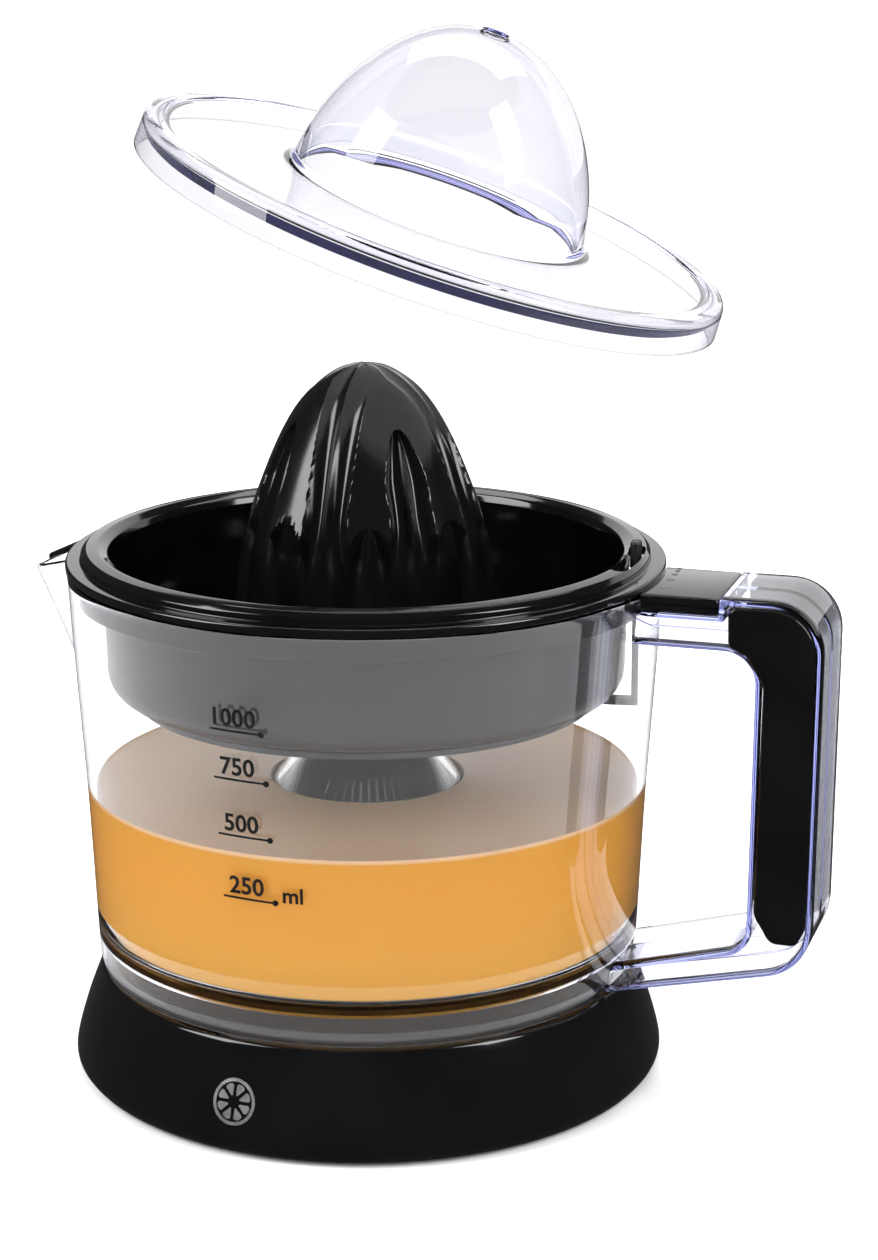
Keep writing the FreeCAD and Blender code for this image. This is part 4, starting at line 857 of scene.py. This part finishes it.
def makeTongue():
    top = 149.4
    side = [(81.9, top), (85.0, top), (91.0, top - 2.7), (97.3, top - 5.6)]
    widths = [7.5, 7.5, 4.8, 1.4]
    points, rows = [], []
    for (x, z), half in zip(side, widths):
        rows.append(list(range(len(points), len(points) + 8)))
        points += [(-x, half, z - 0.4), (-x, half - 0.4, z), (-x, 0, z + 0.15), (-x, -half + 0.4, z),
                   (-x, -half, z - 0.4),
                   (-x, -half, z - 1.4), (-x, 0, z - 1.6), (-x, half, z - 1.4)]
    faces = [rows[0], rows[-1][::-1]]
    for a, b in zip(rows, rows[1:]):
        for k in range(8):
            n = (k + 1) % 8
            faces.append([a[k], b[k], b[n], a[n]])
    return makePiece("tongue", points, faces, glossBlack)


strainerBowl = makeBowl()
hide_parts("strainer_bowl")
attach(strainerBowl, "strainer")
print("strainer made")


# pulp adjuster
adjuster = {
    "ringInner": 24.0, "ringOuter": 66.0, "ringUnder": 110.1, "ringTop": 112.1, "armRadius": 76.9, "armWidth": 3.6,
    "postThickness": 1.8, "postTop": 151.1, "angle": 7.0, "pegTop": 157.4, "pegRadius": 1.85, "pegApart": 2.0,
}


def makeAdjuster():
    p = adjuster
    inner, outer, low, high = p["ringInner"], p["ringOuter"], p["ringUnder"], p["ringTop"]
    outline = softCorners([(inner, low, 0.4), (outer, low, 0.4), (outer, high, 0.4), (inner, high, 0.4)], 3)
    ring = turnedPiece("pulpRing", outline, satinBlack, 160)
    slots = repeatPiece(slotCutter(bowl["slotFrom"], bowl["slotTo"], bowl["slotWidth"], 108, 114),
                        bowl["slotCount"])
    cutWith(ring, slots)
    half = p["armWidth"] / 2
    arm = boxPiece("arm", (outer - 1.0, -half, low), (p["armRadius"] + 0.8, half, high), satinBlack)
    post = boxPiece("post", (p["armRadius"] - p["postThickness"] / 2, -half, p["ringUnder"]),
                    (p["armRadius"] + p["postThickness"] / 2, half, p["postTop"]), satinBlack)
    knobs = []
    for shift in (-0.5, 0.5):
        r = p["pegRadius"] * 0.82
        spots = softCorners([(0, p["postTop"] - 1, 0), (r, p["postTop"] - 1, 0), (r, p["pegTop"], r * 0.75),
                             (0, p["pegTop"], 0)], 6)
        knob = turnedPiece("knob", spots, glossBlack, 40)
        knob.data.transform(Matrix.Translation((p["armRadius"] * mm, shift * p["pegApart"] * mm, 0)))
        knobs.append(knob)
    lever = joinPieces(arm, [post] + knobs)
    lever.data.transform(Matrix.Rotation(math.radians(p["angle"]), 4, "Z"))
    return joinPieces(ring, [lever])


pulpRing = makeAdjuster()
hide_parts("pulp_ring")
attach(pulpRing, "pulp_adjuster")
print("pulp adjuster made")


# ribbed cone
cone = {
    "outline": [(38.2, 133.5), (37.2, 137.5), (35.9, 149.0), (33.6, 160.5), (27.2, 178.0), (22.0, 189.0),
                (17.0, 196.4), (11.8, 201.2), (6.0, 204.5), (0.0, 205.6)],
    "firstRib": -92.6, "turnSteps": 120, "heightSteps": 130,
    "fluteDepth": 5.0, "tipDepth": 0.9, "scoopWidth": 6.2,
    "mediumStart": 190.0, "shortStart": 165.0, "wall": 2.2,
    "notchHeight": 5.6, "notchWide": 9.4, "notchNarrow": 5.6,
}
coneCurve = smoothCurve(cone["outline"], 16)


def coneRadius(turn, along):
    # turn in degrees from a long rib, along from 0 at the base to 1 at the tip
    c = cone
    place = along * (len(coneCurve) - 1)
    i = min(int(place), len(coneCurve) - 2)
    (r0, z0), (r1, z1) = coneCurve[i], coneCurve[i + 1]
    crest, z = r0 + (r1 - r0) * (place - i), z0 + (z1 - z0) * (place - i)
    fall = (205.6 - z) / (205.6 - 133.5)             # 0 at the tip, 1 at the base
    depth = c["tipDepth"] + (c["fluteDepth"] - c["tipDepth"]) * min(fall * 1.15, 1.0)
    span = math.radians(22.5) * crest                # from one rib to the next
    low = min(max((168.0 - z) / 28.0, 0.0), 1.0)
    wide = min(c["scoopWidth"], crest * 0.6)
    wide += (span - wide) * low * low * (3 - 2 * low)

    def scoop(centre, step, width):
        # hollow beside a rib: none on its crest, deepest half way across, none again at the far side
        if width < 0.05:
            return 0.0
        off = (turn - centre + step / 2) % step - step / 2
        u = min(math.sqrt((math.radians(off) * crest) ** 2 + 0.03) / width, 1.0)
        return max(1 - (2 * u - 1) ** 2, 0.0) ** 0.8

    def opened(start, length):
        return math.sqrt(min(max((start - z) / length, 0.0), 1.0))

    hollow = max(scoop(0, 90, wide), scoop(45, 90, wide * opened(c["mediumStart"], 14.0)),
                 scoop(22.5, 45, span * opened(c["shortStart"], 26.0)) * opened(c["shortStart"], 9.0))
    if low > 0.0:
        beside = (turn + 11.25) % 22.5 - 11.25           # angle from the nearest rib of any kind
        if abs((turn + 22.5) % 45 - 22.5) > 11.25:       # nearer to a short rib
            beside = (1 - opened(c["shortStart"], 9.0)) * 11.25 + abs(beside) * opened(c["shortStart"], 9.0)
        crestPart = min(abs(math.radians(beside)) * crest / 2.6, 1.0)
        hollow = min(hollow, crestPart ** 0.7 if z < c["shortStart"] - 4 else hollow)
    return crest - depth * hollow, z


def makeCone():
    c = cone
    quarter = c["turnSteps"]
    rows, points = [], []
    for i in range(c["heightSteps"] + 1):
        along = i / c["heightSteps"]
        row = []
        for k in range(quarter + 1):
            turn = 90.0 * k / quarter
            radius, z = coneRadius(turn, along)
            a = math.radians(turn)
            row.append(len(points))
            points.append((radius * math.cos(a), radius * math.sin(a), z))
        rows.append(row)
    inner = [(34.2, 133.5), (30.0, 137.5), (28.5, 149.0), (26.0, 160.5), (20.5, 178.0), (14.5, 189.0),
             (7.0, 196.0), (0.02, 198.0)]
    innerRows = []
    for r, z in smoothCurve(inner, 4):
        row = []
        for k in range(quarter + 1):
            a = math.radians(90.0 * k / quarter)
            row.append(len(points))
            points.append((r * math.cos(a), r * math.sin(a), z))
        innerRows.append(row)
    faces = []
    for stack in (rows, innerRows):
        for a, b in zip(stack, stack[1:]):
            for k in range(quarter):
                faces.append([a[k], a[k + 1], b[k + 1], b[k]])
    for k in range(quarter):
        faces.append([rows[0][k], rows[0][k + 1], innerRows[0][k + 1], innerRows[0][k]])
    mesh = bpy.data.meshes.new("juicingCone")
    mesh.from_pydata([(x * mm, y * mm, z * mm) for x, y, z in points], [], faces)
    piece = bpy.data.objects.new("juicingCone", mesh)
    bpy.context.scene.collection.objects.link(piece)
    mesh.materials.append(coneBlack)
    repeatPiece(piece, 4, c["firstRib"], 90.0, weld=2e-6)
    work = bmesh.new()
    work.from_mesh(piece.data)
    bmesh.ops.remove_doubles(work, verts=work.verts, dist=2.5e-5)
    bmesh.ops.dissolve_degenerate(work, edges=work.edges, dist=1e-6)
    bmesh.ops.recalc_face_normals(work, faces=work.faces)
    work.to_mesh(piece.data)
    work.free()
    half, top = c["notchWide"] / 2, c["notchNarrow"] / 2
    wedge = [(-half, 133.0), (half, 133.0), (top, 133.5 + c["notchHeight"]), (-top, 133.5 + c["notchHeight"])]
    points = [(x, y, z) for x in (32.0, 42.0) for y, z in wedge]
    notch = makePiece("notchCutter", points, [[3, 2, 1, 0], [4, 5, 6, 7], [0, 1, 5, 4], [1, 2, 6, 5],
                                              [2, 3, 7, 6], [3, 0, 4, 7]], coneBlack)
    notches = repeatPiece(notch, 16, c["firstRib"] + 11.25)
    return cutWith(piece, notches, sharpAngle=38)


juicingCone = makeCone()
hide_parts("juicing_cone")
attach(juicingCone, "cone")
print("cone made")


# dust lid
lid = {
    "radius": 84.0, "wall": 2.2, "skirt": 10.0, "top": 161.0,
    "domeRadius": 42.4, "domeHeight": 48.45, "domeSink": 10.0, "domeFoot": 3.0,
    "dimpleRadius": 3.6, "dimpleDepth": 0.9,
}


def lidOutline():
    d = lid
    top, t = d["top"], d["wall"]
    a, b = d["domeRadius"], d["domeHeight"] + d["domeSink"]
    first = math.asin(d["domeSink"] / b)
    foot = a * math.cos(first)
    turns = [first + (math.pi / 2 - first) * k / 40 for k in range(41)]
    centre = top - d["domeSink"]
    dome = [(a * math.cos(turn), centre + b * math.sin(turn)) for turn in turns[2:]]
    under = [((a - t) * math.cos(turn), centre + (b - t * 0.85) * math.sin(turn)) for turn in turns[1:]]
    dome = [(r, z) for r, z in dome if r > d["dimpleRadius"] + 0.5]
    crown = top + d["domeHeight"]
    pit = [(d["dimpleRadius"] + 0.3, crown - 0.12), (d["dimpleRadius"], crown - 0.35),
           (d["dimpleRadius"] - 0.3, crown - d["dimpleDepth"]),
           (0, crown - d["dimpleDepth"])]
    rim = softCorners([(d["radius"] - t, top - d["skirt"], 0.3), (d["radius"], top - d["skirt"], 0.5),
                       (d["radius"] - 0.6, top, 2.6), (d["radius"] - 5.6, top, 1.6),
                       (d["radius"] - 6.4, top - 0.9, 0.8),
                       (foot + 3.0, top - 0.9, 0)], 6)
    fillet = softCorners([(foot + 8, top - 0.9, 0), (foot + 0.4, top - 0.9, d["domeFoot"]), dome[3] + (0,)],
                         6)
    below = softCorners([(foot - t - 0.2, top - t + 3, 0), (foot - t + 0.6, top - t - 0.9, 3.5),
                         (d["radius"] - 7.2, top - t - 0.9, 0.8),
                         (d["radius"] - 6.2, top - t, 0.6), (d["radius"] - t - 0.6, top - t, 1.8),
                         (d["radius"] - t, top - d["skirt"] + 1, 0)], 6)
    return rim[:-1] + fillet[1:-1] + dome[3:] + pit + [(r, z) for r, z in reversed(under)][0:37] + below[1:-1]


dustLid = turnedPiece("dustLid", lidOutline(), lidClear, 256, sharpAngle=50)
liftJoint = next(j for j in frame["joints"] if j["name"] == "lid_lift")
# painted shade: a dark blue band along the front half of the brim only, standing in for the deep blue seen edge-on
# through the bluish brim plate
edgeShade = {"radius": 80.6, "width": 0.5, "thickness": 2.3, "under": 3.4, "first": -172.0, "last": 14.0}


def makeEdgeShade():
    e, steps = edgeShade, 90
    rows, points = [], []
    for k in range(steps + 1):
        t = k / steps
        a = math.radians(e["first"] + (e["last"] - e["first"]) * t)
        grow = min(1.0, math.sin(math.pi * t) * 1.6) ** 0.7 + 0.02
        half, z = e["width"] / 2, lid["top"] - e["under"]
        row = []
        deep = e["thickness"] * grow
        for r, up in ((-half, -deep), (half, -deep), (half, 0), (-half, 0)):
            row.append(len(points))
            points.append(((e["radius"] + r) * math.cos(a), (e["radius"] + r) * math.sin(a), z + up))
        rows.append(row)
    faces = [rows[0], rows[-1][::-1]]
    for a, b in zip(rows, rows[1:]):
        faces += [[a[k], b[k], b[(k + 1) % 4], a[(k + 1) % 4]] for k in range(4)]
    return makePiece("lidEdgeShade", points, faces, markAndEdgeShadeBlue)


crown = lid["top"] + lid["domeHeight"]
gateMark = turnedPiece("lidGateMark", [(0, crown - 0.86), (2.9, crown - 0.86), (2.9, crown - 0.6),
                                       (2.2, crown - 0.45), (0, crown - 0.4)], markAndEdgeShadeBlue, 48)
lidEdgeShade = makeEdgeShade()
pivot, axis = Vector(liftJoint["pos_m"]), Vector(liftJoint["axis"])
tilt = -math.radians(liftJoint["range_deg"][0])
for part in (dustLid, lidEdgeShade, gateMark):
    part.data.transform(Matrix.Translation(pivot) @ Matrix.Rotation(tilt, 4, axis)
                        @ Matrix.Translation(-pivot))
    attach(part, "lid")
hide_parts("dust_lid")
print("lid made")


# juice, floor, light and camera
def juiceFinish():
    finish, tree, shader = newFinish("freshJuice", {
        "Roughness": 0.28, "IOR": 1.35, "Subsurface Weight": 0.25,
        "Subsurface Radius": (0.006, 0.003, 0.001), "Subsurface Scale": 1.0})
    place = tree.nodes.new("ShaderNodeTexCoord")
    split = tree.nodes.new("ShaderNodeSeparateXYZ")
    ramp = tree.nodes.new("ShaderNodeValToRGB")
    span = tree.nodes.new("ShaderNodeMapRange")
    span.inputs["From Min"].default_value = 43 * mm
    span.inputs["From Max"].default_value = 86 * mm
    tree.links.new(place.outputs["Object"], split.inputs["Vector"])
    tree.links.new(split.outputs["Z"], span.inputs["Value"])
    tree.links.new(span.outputs["Result"], ramp.inputs["Fac"])
    # colour runs up the juice's height: darker orange just under the surface, then a light peach top face, which is
    # a painted highlight
    ramp.color_ramp.elements[0].color = (0.86, 0.46, 0.085, 1)
    ramp.color_ramp.elements[1].color = (1.0, 0.66, 0.4, 1)
    ramp.color_ramp.elements[1].position = 0.985
    ramp.color_ramp.elements.new(0.965).color = (0.86, 0.42, 0.055, 1)
    tree.links.new(ramp.outputs["Color"], shader.inputs["Base Color"])
    return finish


juiceTop = 85.5
inner = offsetCurve(base["mound"], jug["gapOverBase"] + jug["wall"] - 0.1)
moundPart = [(r, z) for r, z in smoothCurve(inner, 5) if 44.0 < z < juiceTop - 0.3]
wallPart = [(radiusAt(jugCurve, z) - jug["wall"] + 0.1, z) for z in [50 + 5 * k for k in range(7)]
            + [juiceTop + 0.5]]
juiceOutline = [(moundPart[0][0] + 3, 43.0), (radiusAt(jugCurve, 50) - jug["wall"] - 5, 43.0),
                (radiusAt(jugCurve, 46) - jug["wall"] - 0.9, 45.0)]
juiceOutline += wallPart + [(wallPart[-1][0] - 0.8, juiceTop + 0.1), (wallPart[-1][0] - 2.0, juiceTop)]
juiceOutline += [(moundPart[-1][0] + 1.4, juiceTop),
                 (moundPart[-1][0] + 0.5, juiceTop + 0.2)] + moundPart[::-1]
juice = turnedPiece("juice", juiceOutline, juiceFinish(), 192)
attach(juice, "jug")

floorLook = {"Base Color": (0.95, 0.95, 0.955, 1), "Specular IOR Level": 0.0}
floorFinish, floorTree, floorShader = newFinish("paleFloor", floorLook)
varyRoughness(floorTree, floorShader, 0.8, 0.95, 4)
floor = makePiece("floor", [(-3000, -3000, 0), (3000, -3000, 0), (3000, 3000, 0), (-3000, 3000, 0)],
                  [[0, 1, 2, 3]], floorFinish)
floor.visible_glossy = False

world = bpy.data.worlds.new("studio")
world.use_nodes = True
bpy.context.scene.world = world
sky = world.node_tree
backdrop = sky.nodes["Background"]
backdrop.inputs["Color"].default_value = (1, 1, 1, 1)
backdrop.inputs["Strength"].default_value = 1.1
dim = sky.nodes.new("ShaderNodeBackground")
dim.inputs["Color"].default_value = (0.9, 0.88, 0.95, 1)
dim.inputs["Strength"].default_value = 0.06
rays, mix = sky.nodes.new("ShaderNodeLightPath"), sky.nodes.new("ShaderNodeMixShader")
reflected = sky.nodes.new("ShaderNodeMath")
reflected.operation, reflected.use_clamp = "SUBTRACT", True
sky.links.new(rays.outputs["Is Glossy Ray"], reflected.inputs[0])
sky.links.new(rays.outputs["Is Transmission Ray"], reflected.inputs[1])
sky.links.new(reflected.outputs["Value"], mix.inputs["Fac"])
sky.links.new(backdrop.outputs["Background"], mix.inputs[1])
sky.links.new(dim.outputs["Background"], mix.inputs[2])
sky.links.new(mix.outputs["Shader"], sky.nodes["World Output"].inputs["Surface"])

lights = {
    "leftBox": {"at": (-0.75, -0.55, 0.75), "size": (0.5, 0.8), "power": 11},
    "rightBox": {"at": (0.95, -0.25, 0.75), "size": (0.35, 0.8), "power": 9},
    "topBox": {"at": (0.05, 0.45, 1.15), "size": (1.2, 0.6), "power": 8},
    "rearBox": {"at": (0.1, 1.1, 0.5), "size": (1.8, 0.6), "power": 4},
}
for name, values in lights.items():
    glow = bpy.data.lights.new(name, "AREA")
    glow.shape = "RECTANGLE"
    glow.size, glow.size_y = values["size"]
    glow.energy = values["power"]
    lamp = bpy.data.objects.new(name, glow)
    lamp.location = values["at"]
    lamp.rotation_euler = (Vector((0.02, 0, 0.13)) - Vector(values["at"])).to_track_quat("-Z", "Y").to_euler()
    lamp.visible_camera = False
    lamp.visible_transmission = False
    bpy.context.scene.collection.objects.link(lamp)

cameraData = bpy.data.cameras.new("camera")
cameraData.sensor_width = 36.0
cameraData.lens = 89.1
camera = bpy.data.objects.new("camera", cameraData)
bpy.context.scene.collection.objects.link(camera)
camera.location = (0.2699, -0.8171, 0.3598)
ahead = Vector((0.0198, 0.0060, 0.128)) - camera.location
camera.rotation_euler = ahead.to_track_quat("-Z", "Y").to_euler()
bpy.context.scene.camera = camera
bpy.context.scene.view_settings.view_transform = "Standard"
print("studio made")
